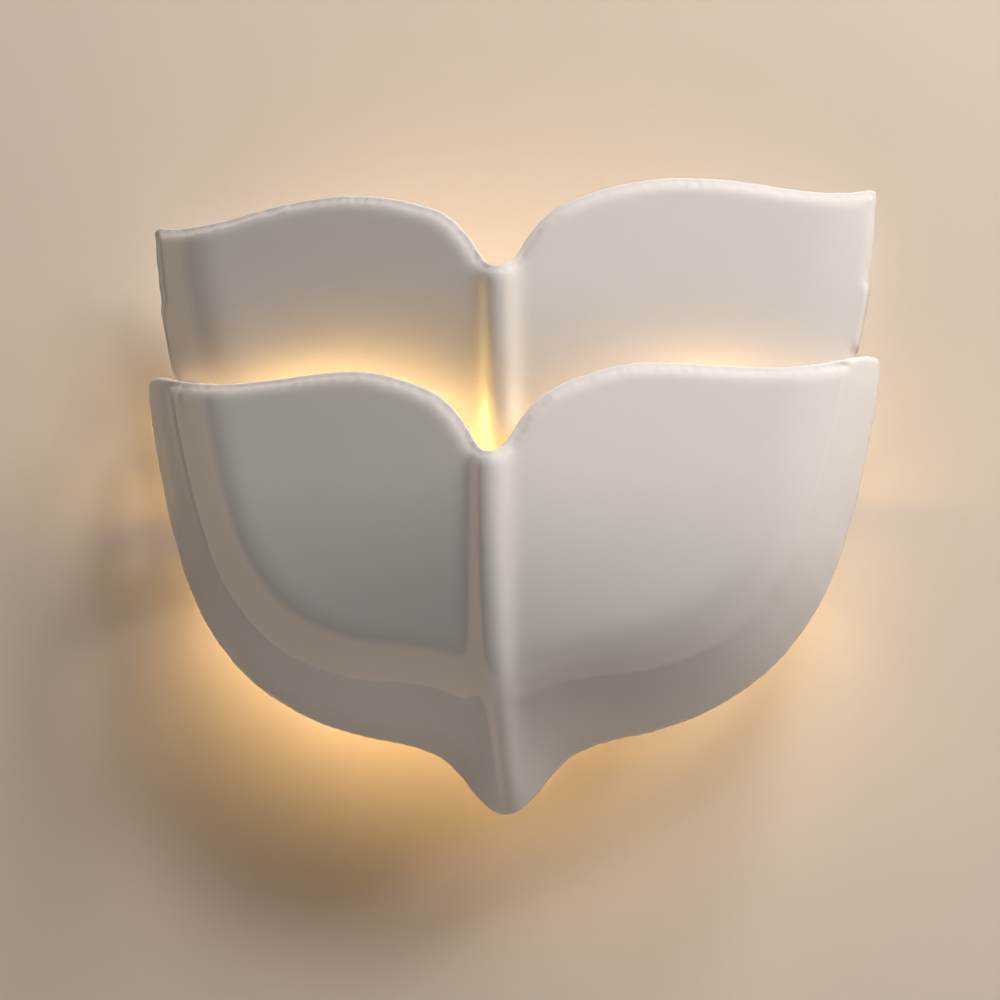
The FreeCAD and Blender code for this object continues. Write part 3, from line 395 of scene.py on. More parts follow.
class TierForm:
    """Outer face of a tier as its distance from the wall over the front view."""

    def __init__(self, tier):
        self.tier = tier
        drop = tier["tip"] - tier["corner"]
        right = [
            (across * tier["half_width"], tier["corner"] + down * drop) for across, down in tier["outline"]
        ]
        whole = [(-x, z) for x, z in right[:-1]] + right[::-1]
        half = spline_through(whole, 2 * OUTLINE_RUNS + 1)[OUTLINE_RUNS:][::-1]
        reach = np.hypot(half[:, 0], SPINE_BLEND) - SPINE_BLEND
        places = np.column_stack([reach, half[:, 1]])
        places = np.vstack([[places[0, 0], places[0, 1] + tier["half_width"]], places])
        self.start = places[:-1]
        self.run = np.diff(places, axis=0)
        self.low = np.array([-tier["half_width"] - GRID_MARGIN, tier["tip"] - GRID_MARGIN])
        across = np.arange(self.low[0], tier["half_width"] + GRID_MARGIN, GRID_STEP)
        up = np.arange(self.low[1], tier["corner"] + GRID_MARGIN, GRID_STEP)
        self.grid = np.array([self.front(np.full(len(up), x), up) for x in across])
        self.within = np.array([
            self.inside(np.hypot(np.full(len(up), x), SPINE_BLEND) - SPINE_BLEND, up) for x in across
        ])

    def inside(self, reach, z):
        start, run = self.start[None], self.run[None]
        away = np.stack([reach, z], axis=-1)[:, None] - start
        along = np.clip((away * run).sum(-1) / (run ** 2).sum(-1), 0, 1)
        left = away - along[..., None] * run
        square = (left ** 2).sum(-1)
        nearest = square.argmin(axis=1)
        rows = np.arange(len(reach))
        cross = (run[..., 0] * away[..., 1] - run[..., 1] * away[..., 0])[rows, nearest]
        return np.where(cross > 0, -1, 1) * np.sqrt(square[rows, nearest])

    def front(self, x, z):
        tier = self.tier
        reach = np.hypot(x, SPINE_BLEND) - SPINE_BLEND
        fallen = np.clip((tier["notch"] - z) / (tier["notch"] - tier["tip"]), 0, None) ** tier["power"]
        face = (tier["bulge"] - SPINE_RISE) * (1 - tier["fall"] * fallen)
        face = face * (1 - tier["sweep"] * reach / tier["half_width"])
        face = face + SPINE_RISE * np.exp(-(np.abs(x / SPINE_HALF) ** RIB_POWER))
        inside = self.inside(reach, z)
        share = np.clip(inside / tier["roll"], 0, 1)
        outside = np.minimum(inside, 0)
        turned = 1 - (1 - share) ** ROLL_POWER
        turned = turned - ROLL_POWER * tier["flare"] / tier["roll"] * (1 - np.exp(outside / tier["flare"]))
        return self.gap(z) + face * turned

    def gap(self, z):
        """Distance of the back edge from the wall."""
        tier = self.tier
        slide = (tier["corner"] - z) / (tier["corner"] - tier["tip"])
        return tier["gap_top"] + (tier["gap_tip"] - tier["gap_top"]) * slide

    def read(self, x, z):
        """Distance from the wall and the unit normal, read from the grid with smooth cubic steps."""
        place = (np.column_stack([x, z]) - self.low) / GRID_STEP
        cell = np.clip(np.floor(place).astype(int), 1, np.array(self.grid.shape) - 3)
        part = place - cell
        weights, slopes = [], []
        for t in (part[:, 0], part[:, 1]):
            weights.append([((2 - t) * t - 1) * t / 2, ((3 * t - 5) * t * t + 2) / 2,
                            ((4 - 3 * t) * t + 1) * t / 2, (t - 1) * t * t / 2])
            slopes.append([((4 - 3 * t) * t - 1) / 2, (9 * t - 10) * t / 2,
                           ((8 - 9 * t) * t + 1) / 2, (3 * t - 2) * t / 2])
        deep = slope_x = slope_z = 0
        for i in range(4):
            for j in range(4):
                value = self.grid[cell[:, 0] + i - 1, cell[:, 1] + j - 1]
                deep = deep + weights[0][i] * weights[1][j] * value
                slope_x = slope_x + slopes[0][i] * weights[1][j] * value / GRID_STEP
                slope_z = slope_z + weights[0][i] * slopes[1][j] * value / GRID_STEP
        way = np.column_stack([slope_x, np.ones(len(x)), slope_z])
        return deep, way / np.linalg.norm(way, axis=1)[:, None]

    def hold(self, points):
        """How firmly a point is held to the form: not at all at the outline and in the tip."""
        cell = np.rint((points[:, [0, 2]] - self.low) / GRID_STEP).astype(int)
        cell = np.clip(cell, 0, np.array(self.grid.shape) - 1)
        outline = (self.within[cell[:, 0], cell[:, 1]] - HOLD_FROM) / HOLD_RUN
        tip = (points[:, 2] - self.tier["tip"] - TIP_FROM) / TIP_RUN
        return np.clip(outline, 0, 1) * np.clip(tip, 0, 1)

    def depths(self, points):
        """How deep each point lies behind the outer face, and the face's unit normal there."""
        x, z = points[:, 0], points[:, 2]
        for _ in range(DEPTH_STEPS):
            front, way = self.read(x, z)
            deep = (points[:, 1] + front) / way[:, 1]
            x = points[:, 0] - deep * way[:, 0]
            z = points[:, 2] - deep * way[:, 2]
        front, way = self.read(x, z)
        return (points[:, 1] + front) / way[:, 1], way


def distances(points, targets):
    """Distance of each point from the nearest target."""
    tree = KDTree(len(targets))
    for number, place in enumerate(targets):
        tree.insert(place, number)
    tree.balance()
    return np.array([tree.find(point)[2] for point in points])


def lay_on_form(piece, form):
    """Lays a tier's faces on its form, evens its edges, and lets the glaze fall back along the rim."""
    mesh = piece.data
    points, normals = np.zeros((2, len(mesh.vertices) * 3))
    mesh.vertices.foreach_get("co", points)
    mesh.vertices.foreach_get("normal", normals)
    points = points.reshape(-1, 3) / MM
    ends = np.zeros(len(mesh.edges) * 2, int)
    mesh.edges.foreach_get("vertices", ends)
    first, second = ends.reshape(-1, 2).T
    count = len(points)
    joined = np.bincount(first, minlength=count) + np.bincount(second, minlength=count)

    def around(values):
        total = np.bincount(first, values[second], count) + np.bincount(second, values[first], count)
        return total / joined

    hold = form.hold(points)
    for step in range(EVEN_STEPS):
        loose = 1 if step < RIM_STEPS else 1 - hold
        for share in EVEN_SHARES:
            points = np.column_stack([
                column + share * loose * (around(column) - column) for column in points.T
            ])
    deep, way = form.depths(points)
    facing = -(way * normals.reshape(-1, 3)).sum(axis=1)
    rim = (np.abs(facing) < SIDEWAYS) & (np.abs(deep - SHELL_WALL / 2) < EDGE_BAND)
    rim &= points[:, 1] < -form.gap(points[:, 2]) - SHELL_WALL / 4
    away = distances(points, points[rim]) - SHELL_WALL / 2
    shift = np.where(facing > 0, 0, SHELL_WALL) - deep
    face = (np.abs(shift) < CAPTURE) & (np.abs(facing) > SIDEWAYS) & (away > 1) & (hold > 0)
    shift[~face] = 0
    for step in range(FOLLOW_STEPS):
        shift = np.where(face & (step < FOLLOW_STEPS - LAST_STEPS), shift, around(shift))
    shift *= hold
    points = points + way * shift[:, None]
    deep = np.clip(deep + shift, 0, SHELL_WALL / 2)
    left = 1 - np.clip(away / EDGE_REACH, 0, 1)
    fall = EDGE_FALL * (1 - np.sqrt(1 - left ** 2)) * (1 - 2 * deep / SHELL_WALL) * (facing > -SIDEWAYS)
    points = points + way * fall[:, None]
    mesh.vertices.foreach_set("co", (points * MM).ravel())
    mesh.update()


# Materials

def new_material(name):
    material = bpy.data.materials.new(name)
    material.use_nodes = True
    tree = material.node_tree
    return material, tree, tree.nodes["Principled BSDF"]


def add(tree, kind, values=(), **settings):
    """New node with its settings and the values of its named sockets."""
    made = tree.nodes.new("ShaderNode" + kind)
    for key, value in settings.items():
        setattr(made, key, value)
    for key, value in dict(values).items():
        made.inputs[key].default_value = value
    return made


def noise_on(tree, scale, detail=2.0):
    place = add(tree, "TexCoord")
    noise = add(tree, "TexNoise", {"Scale": scale, "Detail": detail})
    tree.links.new(place.outputs["Object"], noise.inputs["Vector"])
    return noise


def spread(tree, source, low, high, from_low=0.3, from_high=0.7):
    """Maps a 0 to 1 pattern onto a range."""
    ranged = add(tree, "MapRange", {
        "From Min": from_low, "From Max": from_high, "To Min": low, "To Max": high,
    })
    tree.links.new(source, ranged.inputs["Value"])
    return ranged.outputs["Result"]


def shaded(color, share):
    return tuple(part * share for part in color)


def two_tone(tree, source, first, second):
    mix = add(tree, "Mix", data_type="RGBA")
    mix.inputs["A"].default_value = (*first, 1)
    mix.inputs["B"].default_value = (*second, 1)
    tree.links.new(source, mix.inputs["Factor"])
    return mix.outputs["Result"]


def bump_from(tree, shader, source, distance, strength=1.0):
    bump = add(tree, "Bump", {"Distance": distance, "Strength": strength})
    tree.links.new(source, bump.inputs["Height"])
    tree.links.new(bump.outputs["Normal"], shader.inputs["Normal"])
    return bump


def plain_finish(name, first, second, rough, scale, metal=0.0, grain=GRAIN_HEIGHT, coat=0.0):
    """Finish of a machined, painted or moulded piece: slight tone, roughness and surface changes."""
    material, tree, shader = new_material(name)
    noise = noise_on(tree, scale, 4.0)
    tone = two_tone(tree, spread(tree, noise.outputs["Fac"], 0, 1), first, second)
    tree.links.new(tone, shader.inputs["Base Color"])
    swing = spread(tree, noise.outputs["Fac"], rough - ROUGH_SWING, rough + ROUGH_SWING)
    tree.links.new(swing, shader.inputs["Roughness"])
    shader.inputs["Metallic"].default_value = metal
    shader.inputs["Coat Weight"].default_value = coat
    fine = noise_on(tree, scale * GRAIN_TIMES)
    bump_from(tree, shader, fine.outputs["Fac"], grain)
    return material


def glaze(look, name, form):
    """White stoneware under a clear gloss glaze in slow waves, wiped off the back edge and the lugs, where
    the dark bare body also paints the shade along the back edge.
    """
    material, tree, shader = new_material("warm_white_glaze_" + name)
    cloud = noise_on(tree, CLOUD_SCALE, 3.0)
    warm = tuple(look.glaze_color)
    cool = shaded(warm, CLOUD_SHADE)
    glazed = two_tone(tree, spread(tree, cloud.outputs["Fac"], 0, 1), cool, warm)
    speck = noise_on(tree, SPECK_SCALE, 3.0)
    # Bare body in dark tones: its own specks, and painted shade along the back edge
    body = two_tone(tree, spread(tree, speck.outputs["Fac"], 0, 1), *BARE_SHADED_TONES)
    place = add(tree, "TexCoord")
    parts = add(tree, "SeparateXYZ")
    tree.links.new(place.outputs["Object"], parts.inputs["Vector"])
    fall = float(form.gap(1.0) - form.gap(0.0))
    level = add(tree, "Math", {1: fall, 2: float(form.gap(0.0)) * MM}, operation="MULTIPLY_ADD")
    tree.links.new(parts.outputs["Z"], level.inputs[0])
    behind = add(tree, "Math", operation="ADD")
    tree.links.new(parts.outputs["Y"], behind.inputs[0])
    tree.links.new(level.outputs["Value"], behind.inputs[1])
    # Mask of the wiped back edge: bare and matt there, and its dark tones are painted shade
    bare_shaded_edge = spread(tree, behind.outputs["Value"], 0, 1, -WIPED_SHADED * MM, (WIPED_SHADED_FADE - WIPED_SHADED) * MM)
    whole = add(tree, "Mix", data_type="RGBA")
    tree.links.new(bare_shaded_edge, whole.inputs["Factor"])
    tree.links.new(glazed, whole.inputs["A"])
    tree.links.new(body, whole.inputs["B"])
    tree.links.new(whole.outputs["Result"], shader.inputs["Base Color"])
    rough = spread(tree, bare_shaded_edge, look.glaze_roughness, BARE_ROUGHNESS, 0, 1)
    tree.links.new(rough, shader.inputs["Roughness"])
    tree.links.new(spread(tree, bare_shaded_edge, 1, 0, 0, 1), shader.inputs["Coat Weight"])
    shader.inputs["Coat Roughness"].default_value = COAT_ROUGHNESS
    shader.inputs["Coat IOR"].default_value = COAT_INDEX
    shader.inputs["IOR"].default_value = BODY_INDEX
    wave = noise_on(tree, WAVE_SCALE, 1.0)
    bump = bump_from(tree, shader, wave.outputs["Fac"], look.glaze_wave * MM)
    tree.links.new(bump.outputs["Normal"], shader.inputs["Coat Normal"])
    return material


def lit_capsule(look):
    """Frosted silicone lit from inside, a little brighter over each row of chips."""
    material, tree, shader = new_material("lit_silicone")
    place = add(tree, "TexCoord")
    rows = add(tree, "TexWave", {"Scale": CHIP_SCALE, "Distortion": 0.6, "Detail": 1.0})
    tree.links.new(place.outputs["Object"], rows.inputs["Vector"])
    warm = tuple(look.capsule_color)
    glow = two_tone(tree, rows.outputs["Fac"], shaded(warm, CHIP_SHADE), warm)
    tree.links.new(glow, shader.inputs["Emission Color"])
    shader.inputs["Base Color"].default_value = CAPSULE_BASE
    shader.inputs["Roughness"].default_value = CAPSULE_ROUGHNESS
    shader.inputs["Emission Strength"].default_value = look.capsule_glow
    return material


def braided(name, first, second):
    """Woven glass sleeve: two sets of fine threads that cross."""
    material, tree, shader = new_material(name)
    place = add(tree, "TexCoord")
    threads = []
    for turn in BRAID_TURNS:
        turned = add(tree, "Mapping", {"Rotation": (math.radians(turn), math.radians(turn), 0)})
        tree.links.new(place.outputs["Object"], turned.inputs["Vector"])
        wave = add(tree, "TexWave", {"Scale": BRAID_SCALE, "Distortion": 0.4})
        tree.links.new(turned.outputs["Vector"], wave.inputs["Vector"])
        threads.append(wave.outputs["Fac"])
    weave = add(tree, "Math", operation="MAXIMUM")
    tree.links.new(threads[0], weave.inputs[0])
    tree.links.new(threads[1], weave.inputs[1])
    tree.links.new(two_tone(tree, weave.outputs["Value"], first, second), shader.inputs["Base Color"])
    shader.inputs["Roughness"].default_value = BRAID_ROUGHNESS
    bump_from(tree, shader, weave.outputs["Value"], BRAID_HEIGHT)
    return material


def striped(name, first, second):
    """Plain insulation with a second colour in a slow band."""
    material, tree, shader = new_material(name)
    place = add(tree, "TexCoord")
    wave = add(tree, "TexWave", {"Scale": BAND_SCALE, "Distortion": 0.3})
    wave.bands_direction = "DIAGONAL"
    tree.links.new(place.outputs["Object"], wave.inputs["Vector"])
    band = spread(tree, wave.outputs["Fac"], 0, 1, *BAND_EDGE)
    tree.links.new(two_tone(tree, band, first, second), shader.inputs["Base Color"])
    shader.inputs["Roughness"].default_value = SLEEVE_ROUGHNESS
    fine = noise_on(tree, SLEEVE_GRAIN)
    bump_from(tree, shader, fine.outputs["Fac"], GRAIN_HEIGHT)
    return material


# Plain finishes by slot: name, two tones, roughness, scale of the pattern, and what else differs
PLAIN = {
    "painted_steel": (
        "satin_white_paint", (0.70, 0.70, 0.68), (0.78, 0.78, 0.76), 0.38, 60.0,
        {"grain": 0.00003, "coat": 0.3},
    ),
    "zinc_steel": ("zinc_plate", (0.52, 0.53, 0.54), (0.66, 0.67, 0.68), 0.34, 220.0, {"metal": 1.0}),
    "brass": ("turned_brass", (0.62, 0.45, 0.2), (0.78, 0.6, 0.3), 0.3, 200.0, {"metal": 1.0}),
    "bare_ceramic": (
        "pressed_steatite", (0.78, 0.76, 0.7), (0.86, 0.84, 0.79), 0.6, 180.0, {"grain": 0.00006},
    ),
    "strip_plastic": ("moulded_strip", (0.76, 0.76, 0.73), (0.84, 0.84, 0.81), 0.5, 120.0, {}),
    "silicone": ("grey_silicone", (0.5, 0.5, 0.49), (0.6, 0.6, 0.58), 0.55, 150.0, {}),
    "black_rubber": ("black_rubber", (0.02, 0.02, 0.02), (0.045, 0.045, 0.045), 0.6, 150.0, {}),
}# Woven sleeves by slot: name and two tones
BRAIDED = {
    "brown_lead": ("brown_sleeve", (0.10, 0.05, 0.025), (0.24, 0.12, 0.06)),
    "blue_lead": ("blue_sleeve", (0.03, 0.08, 0.26), (0.09, 0.2, 0.48)),
}


def finish_of(node, look):
    """Material of a node's slot, made the first time that it is asked for."""
    slot = SLOT_OF[node]
    if slot == "frosted_bulb":
        return bpy.data.materials.get("lit_silicone") or lit_capsule(look)
    if slot == "green_lead":
        return bpy.data.materials.get("earth_sleeve") or striped("earth_sleeve", *EARTH_TONES)
    if slot in BRAIDED:
        return bpy.data.materials.get(BRAIDED[slot][0]) or braided(*BRAIDED[slot])
    *values, more = PLAIN[slot]
    return bpy.data.materials.get(values[0]) or plain_finish(*values, **more)


# Settings that a user would change

class SconceLook(bpy.types.PropertyGroup):
    """Colours and finish of the glaze and the lamps."""

    glaze_color: FloatVectorProperty(
        name="Glaze colour", description="Colour of the glazed tiers", subtype="COLOR",
        default=(0.69, 0.655, 0.632), min=0, max=1,
    )
    glaze_roughness: FloatProperty(
        name="Body roughness", description="Roughness of the ceramic under the clear glaze",
        default=0.32, min=0, max=1,
    )
    glaze_wave: FloatProperty(
        name="Glaze wave", description="Height of the slow waves in the glaze, in millimetres",
        default=0.12, min=0,
    )
    voxel: FloatProperty(
        name="Mesh size", description="Size of the faces of the glazed tiers",
        subtype="DISTANCE", default=0.0014,
    )
    lamp_color: FloatVectorProperty(
        name="Lamp colour", description="Colour of the light from the capsules", subtype="COLOR",
        default=(1.0, 0.66, 0.24), min=0, max=1,
    )
    capsule_color: FloatVectorProperty(
        name="Capsule colour", description="Colour of a lit capsule's surface", subtype="COLOR",
        default=(1.0, 0.72, 0.38), min=0, max=1,
    )
    capsule_glow: FloatProperty(
        name="Capsule glow", description="Strength of the light that a capsule's surface gives",
        default=1.4, min=0,
    )
    lamp_level: FloatProperty(
        name="Lamp level", description="Times the power of the lamps' light", default=1.0, min=0,
    )


class SconceStage(bpy.types.PropertyGroup):
    """Wall and room light."""

    wall_color: FloatVectorProperty(
        name="Wall colour", description="Colour of the plain wall", subtype="COLOR",
        default=(0.752, 0.654, 0.551), min=0, max=1,
    )
    wall_half: FloatProperty(
        name="Wall half", description="Half the side of the wall", subtype="DISTANCE", default=1.6,
    )
    key_level: FloatProperty(
        name="Soft box level", description="Times the power of the soft boxes", default=1.0, min=0,
    )
    key_color: FloatVectorProperty(
        name="Soft box colour", description="Colour of the soft boxes", subtype="COLOR",
        default=(1.0, 0.96, 0.92), min=0, max=1,
    )
    room_glint: FloatProperty(
        name="Room glint", description="Strength of the bright side of the room in the glaze",
        default=1.15, min=0,
    )
    glint_color: FloatVectorProperty(
        name="Glint colour", description="Colour of the bright side of the room in the glaze",
        subtype="COLOR", default=(1.0, 0.74, 0.52), min=0, max=1,
    )
    backdrop: FloatProperty(
        name="Backdrop", description="Strength of the plain backdrop round the wall", default=0.75, min=0,
    )
    room: FloatProperty(
        name="Room light", description="Strength of the light from all round", default=0.01, min=0,
    )


class SCONCE_OT_camera(bpy.types.Operator):
    """Camera at the photograph's place: low and a little to the right"""

    bl_idname = "sconce.camera"
    bl_label = "Camera"

    def execute(self, context):
        yaw, pitch, roll = (math.radians(turn) for turn in (CAMERA_YAW, CAMERA_PITCH, CAMERA_ROLL))
        target = Vector(CAMERA_TARGET)
        way = Vector((math.sin(yaw) * math.cos(pitch), -math.cos(yaw) * math.cos(pitch), math.sin(pitch)))
        data = bpy.data.cameras.new("photo_camera")
        data.sensor_width = CAMERA_FILM
        data.lens = CAMERA_LENS
        camera = bpy.data.objects.new("photo_camera", data)
        context.scene.collection.objects.link(camera)
        turn = (-way).to_track_quat("-Z", "Y").to_matrix().to_4x4()
        place = Matrix.Translation(target + way * CAMERA_FAR)
        camera.matrix_world = place @ turn @ Matrix.Rotation(roll, 4, "Z")
        context.scene.camera = camera
        return {"FINISHED"}


class SCONCE_OT_wall(bpy.types.Operator):
    """Plain wall behind the light, clear from behind so that the back can be looked at"""

    bl_idname = "sconce.wall"
    bl_label = "Wall"

    def execute(self, context):
        look = context.scene.sconce_stage
        bpy.ops.object.select_all(action="DESELECT")
        bpy.ops.mesh.primitive_plane_add(
            size=2 * look.wall_half, location=(0, WALL_GAP, 0), rotation=(math.radians(90), 0, 0)
        )
        wall = context.object
        wall.name = "plain_wall"
        bpy.ops.object.transform_apply(location=True, rotation=True)
        material, tree, shader = new_material("matt_wall_paint")
        noise = noise_on(tree, PAINT_SCALE)
        warm = tuple(look.wall_color)
        tone = two_tone(tree, spread(tree, noise.outputs["Fac"], 0, 1), shaded(warm, PAINT_SHADE), warm)
        tree.links.new(tone, shader.inputs["Base Color"])
        shader.inputs["Roughness"].default_value = PAINT_ROUGHNESS
        shader.inputs["Specular IOR Level"].default_value = PAINT_SHINE
        clear = add(tree, "BsdfTransparent")
        side = add(tree, "NewGeometry")
        mix = add(tree, "MixShader")
        tree.links.new(side.outputs["Backfacing"], mix.inputs["Fac"])
        tree.links.new(shader.outputs["BSDF"], mix.inputs[1])
        tree.links.new(clear.outputs["BSDF"], mix.inputs[2])
        tree.links.new(mix.outputs["Shader"], tree.nodes["Material Output"].inputs["Surface"])
        wall.data.materials.append(material)
        wall.visible_shadow = False
        return {"FINISHED"}


def lamp(name, kind, place, power, color, target=None, **settings):
    data = bpy.data.lights.new(name, kind)
    data.energy = power
    data.color = color
    for key, value in settings.items():
        setattr(data, key, value)
    made = bpy.data.objects.new(name, data)
    bpy.context.scene.collection.objects.link(made)
    made.location = place
    if target is not None:
        made.rotation_euler = (Vector(target) - Vector(place)).to_track_quat("-Z", "Y").to_euler()
    return made


class SCONCE_OT_room_light(bpy.types.Operator):
    """Soft boxes round the light and a plain room that shows in the glaze"""

    bl_idname = "sconce.room_light"
    bl_label = "Room light"

    def execute(self, context):
        stage = context.scene.sconce_stage
        for row, (round_, up, far, side, power) in enumerate((*SOFT_BOXES, CARD)):
            round_, up = math.radians(round_), math.radians(up)
            way = Vector((math.sin(round_) * math.cos(up), -math.cos(round_) * math.cos(up), math.sin(up)))
            box = lamp(
                "soft_box_%d" % row, "AREA", way * far, power * stage.key_level, tuple(stage.key_color),
                MIDDLE, shape="SQUARE", size=side,
            )
            box.visible_glossy = row == len(SOFT_BOXES)
            box.visible_diffuse = row < len(SOFT_BOXES)
        world = bpy.data.worlds.new("studio")
        context.scene.world = world
        world.use_nodes = True
        tree = world.node_tree
        back = tree.nodes["Background"]
        back.inputs["Color"].default_value = ROOM_COLOR
        way = add(tree, "TexCoord")
        path = add(tree, "LightPath")
        facing = add(tree, "VectorMath", operation="DOT_PRODUCT")
        facing.inputs[1].default_value = DARK_SIDE
        tree.links.new(way.outputs["Generated"], facing.inputs[0])
        parts = add(tree, "SeparateXYZ")
        tree.links.new(way.outputs["Generated"], parts.inputs["Vector"])
        level = stage.room_glint
        bright = spread(tree, parts.outputs["X"], level, level * RIGHT_SHARE, *GLINT_FADE)
        dark = spread(tree, facing.outputs["Value"], 1, 0, *DARK_EDGE)
        glint = add(tree, "Math", operation="MULTIPLY")
        tree.links.new(bright, glint.inputs[0])
        tree.links.new(dark, glint.inputs[1])
        tint = add(tree, "Mix", data_type="RGBA")
        tree.links.new(path.outputs["Is Glossy Ray"], tint.inputs["Factor"])
        tint.inputs[6].default_value = ROOM_COLOR
        tint.inputs[7].default_value = (*stage.glint_color, 1)
        tree.links.new(tint.outputs[2], back.inputs["Color"])
        seen = add(tree, "Math", {1: stage.backdrop, 2: stage.room}, operation="MULTIPLY_ADD")
        tree.links.new(path.outputs["Is Camera Ray"], seen.inputs[0])
        whole = add(tree, "Math", operation="MULTIPLY_ADD")
        tree.links.new(path.outputs["Is Glossy Ray"], whole.inputs[0])
        tree.links.new(glint.outputs["Value"], whole.inputs[1])
        tree.links.new(seen.outputs["Value"], whole.inputs[2])
        tree.links.new(whole.outputs["Value"], back.inputs["Strength"])
        context.scene.view_settings.view_transform = "Standard"
        return {"FINISHED"}


class SCONCE_OT_lamp_glow(bpy.types.Operator):
    """Warm light of the two capsules on the tiers and the wall"""

    bl_idname = "sconce.lamp_glow"
    bl_label = "Lamp glow"

    def execute(self, context):
        look = context.scene.sconce_look
        for row, (x, y, z, radius, power) in enumerate(GLOW_POINTS):
            lamp(
                "glow_%d" % row, "POINT", Vector((x, y, z)) * MM, power * look.lamp_level, look.lamp_color,
                shadow_soft_size=radius * MM,
            )
        return {"FINISHED"}


class SCONCE_OT_glazed_tiers(bpy.types.Operator):
    """The two glazed tiers, laid on their drawn form"""

    bl_idname = "sconce.glazed_tiers"
    bl_label = "Glazed tiers"

    def execute(self, context):
        look = context.scene.sconce_look
        for name, tier in TIERS.items():
            form = TierForm(tier)
            piece = copy_of(name + "_shell", name + "_tier")
            apply_modifier(piece, "REMESH", mode="VOXEL", voxel_size=look.voxel)
            apply_modifier(piece, "SMOOTH", factor=SOFTEN_SHARE, iterations=SOFTEN_STEPS)
            lay_on_form(piece, form)
            only(piece)
            bpy.ops.object.shade_smooth()
            finish_piece(piece, "shells", "glazed_ceramic", glaze(look, name, form), name + "_shell")
        return {"FINISHED"}


class SCONCE_OT_steelwork(bpy.types.Operator):
    """Wall plate, hanger frame and lamp bracket in painted sheet steel, and the turned studs"""

    bl_idname = "sconce.steelwork"
    bl_label = "Steelwork"

    def execute(self, context):
        look = context.scene.sconce_look
        for node, (name, ease) in STEELWORK.items():
            dress(node, name, look, ease)
        return {"FINISHED"}


class SCONCE_OT_screws(bpy.types.Operator):
    """All screws, with a cross or a slot cut into each head"""

    bl_idname = "sconce.screws"
    bl_label = "Screws"

    def execute(self, context):
        look = context.scene.sconce_look
        for node, (axis, way, bars, ease) in SCREWS.items():
            piece = dress(node, node + "_driven", look, ease)
            cut_drives(piece, axis, way, bars)
        return {"FINISHED"}


class SCONCE_OT_fittings(bpy.types.Operator):
    """Lampholders, strip, grommet, feet, washers and inserts with eased edges"""

    bl_idname = "sconce.fittings"
    bl_label = "Fittings"

    def execute(self, context):
        look = context.scene.sconce_look
        for node, ease in FITTINGS.items():
            dress(node, node + "_eased", look, ease)
        return {"FINISHED"}


class SCONCE_OT_bulbs(bpy.types.Operator):
    """Capsules of the two bulbs: a fluted silicone cylinder with a rounded end"""

    bl_idname = "sconce.bulbs"
    bl_label = "Bulbs"

    def execute(self, context):
        look = context.scene.sconce_look
        for hand in ("left", "right"):
            node = "bulb_capsule_" + hand
            low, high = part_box(node)
            length = high[0] - low[0]
            radius = (high[2] - low[2]) / 2
            bpy.ops.object.select_all(action="DESELECT")
            bpy.ops.mesh.primitive_cylinder_add(
                vertices=FLUTES * FLUTE_FACES, radius=radius, depth=length,
                location=(Vector(low) + Vector(high)) / 2, rotation=(0, math.radians(90), 0),
            )
            piece = context.object
            piece.name = "fluted_capsule_" + hand
            bpy.ops.object.transform_apply(location=True, rotation=True)
            mesh = piece.data
            middle = (low[2] + high[2]) / 2
            depth = (low[1] + high[1]) / 2
            bpy.ops.object.mode_set(mode="EDIT")
            bpy.ops.mesh.select_all(action="DESELECT")
            bpy.ops.object.mode_set(mode="OBJECT")
            for face in mesh.polygons:
                if len(face.vertices) == 4:
                    turn = math.atan2(face.center.z - middle, face.center.y - depth)
                    step = int((turn / math.tau + 1) * FLUTES * FLUTE_FACES)
                    face.select = step % FLUTE_FACES == 0
            bpy.ops.object.mode_set(mode="EDIT")
            bpy.ops.mesh.select_mode(type="FACE")
            bpy.ops.mesh.inset(thickness=FLUTE_INSET * MM, depth=-FLUTE_DEPTH * MM, use_individual=True)
            bpy.ops.object.mode_set(mode="OBJECT")
            apply_modifier(
                piece, "BEVEL", width=CAPSULE_ROUND * MM, segments=CAPSULE_STEPS, limit_method="ANGLE",
                angle_limit=math.radians(CAPSULE_ANGLE),
            )
            shade(piece)
            finish_piece(piece, BODY_OF[node], SLOT_OF[node], finish_of(node, look), node)
        return {"FINISHED"}


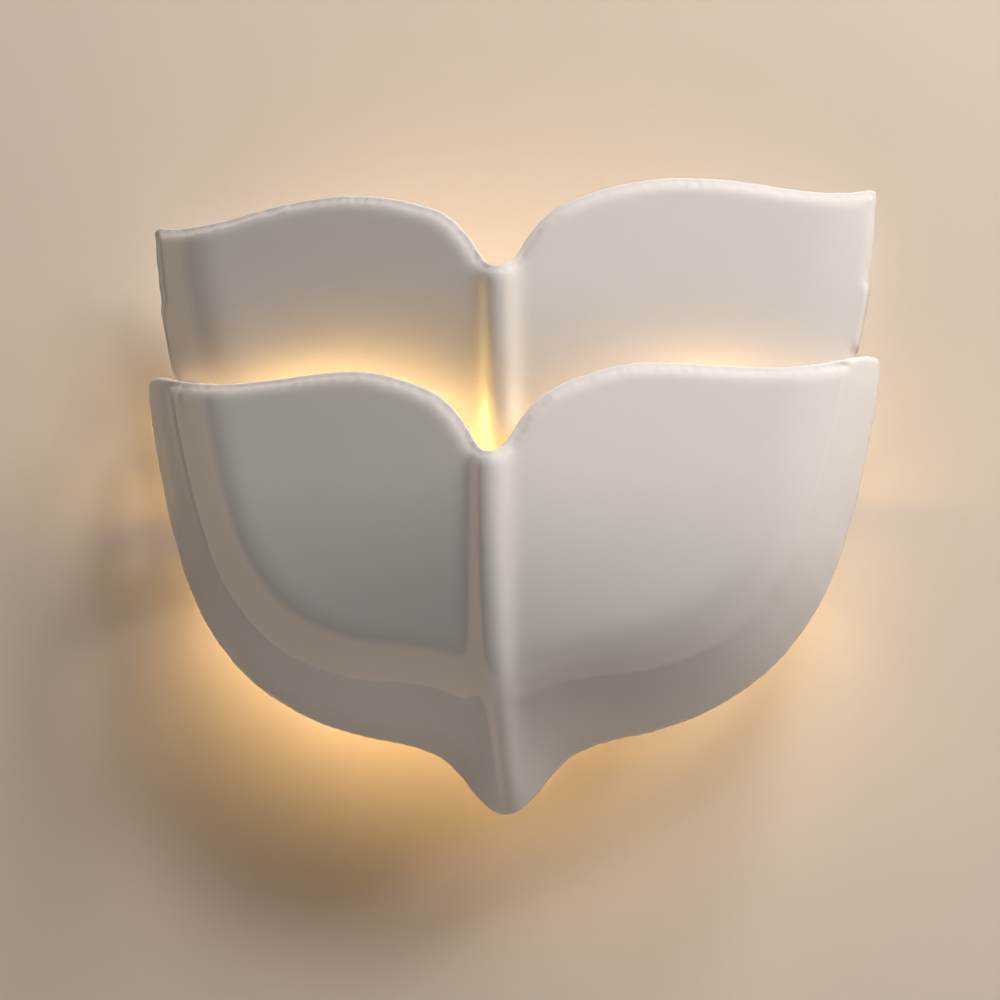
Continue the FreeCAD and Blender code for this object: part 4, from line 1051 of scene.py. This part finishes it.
class SCONCE_OT_small_pieces(bpy.types.Operator):
    """Leads, pins, contacts and sleeves, which keep the shape of the solids"""

    bl_idname = "sconce.small_pieces"
    bl_label = "Small pieces"

    def execute(self, context):
        look = context.scene.sconce_look
        for name, node in NODES.items():
            if node.hide_render or name not in SLOT_OF or SLOT_OF[name] == "glazed_ceramic":
                continue
            node.data.materials.clear()
            node.data.materials.append(finish_of(name, look))
        return {"FINISHED"}


class SCONCE_PT_panel(bpy.types.Panel):
    """Sconce pieces and settings"""

    bl_label = "Sconce"
    bl_idname = "SCONCE_PT_panel"
    bl_space_type = "VIEW_3D"
    bl_region_type = "UI"
    bl_category = "Sconce"

    def draw(self, context):
        for group in (context.scene.sconce_look, context.scene.sconce_stage):
            for key in group.bl_rna.properties.keys():
                if key not in ("rna_type", "name"):
                    self.layout.prop(group, key)
        for step in STEPS:
            self.layout.operator(step.bl_idname)


STEPS = (
    SCONCE_OT_camera,
    SCONCE_OT_wall,
    SCONCE_OT_room_light,
    SCONCE_OT_lamp_glow,
    SCONCE_OT_glazed_tiers,
    SCONCE_OT_steelwork,
    SCONCE_OT_screws,
    SCONCE_OT_fittings,
    SCONCE_OT_bulbs,
    SCONCE_OT_small_pieces,
)
CLASSES = (SconceLook, SconceStage, *STEPS, SCONCE_PT_panel)


def register():
    for kind in CLASSES:
        bpy.utils.register_class(kind)
    bpy.types.Scene.sconce_look = PointerProperty(type=SconceLook)
    bpy.types.Scene.sconce_stage = PointerProperty(type=SconceStage)


def unregister():
    del bpy.types.Scene.sconce_stage
    del bpy.types.Scene.sconce_look
    for kind in reversed(CLASSES):
        bpy.utils.unregister_class(kind)


def main():
    register()
    bpy.ops.sconce.camera()
    bpy.ops.sconce.wall()
    bpy.ops.sconce.room_light()
    bpy.ops.sconce.lamp_glow()
    bpy.ops.sconce.glazed_tiers()
    bpy.ops.sconce.steelwork()
    bpy.ops.sconce.screws()
    bpy.ops.sconce.fittings()
    bpy.ops.sconce.bulbs()
    bpy.ops.sconce.small_pieces()


if __name__ == "__main__":
    main()
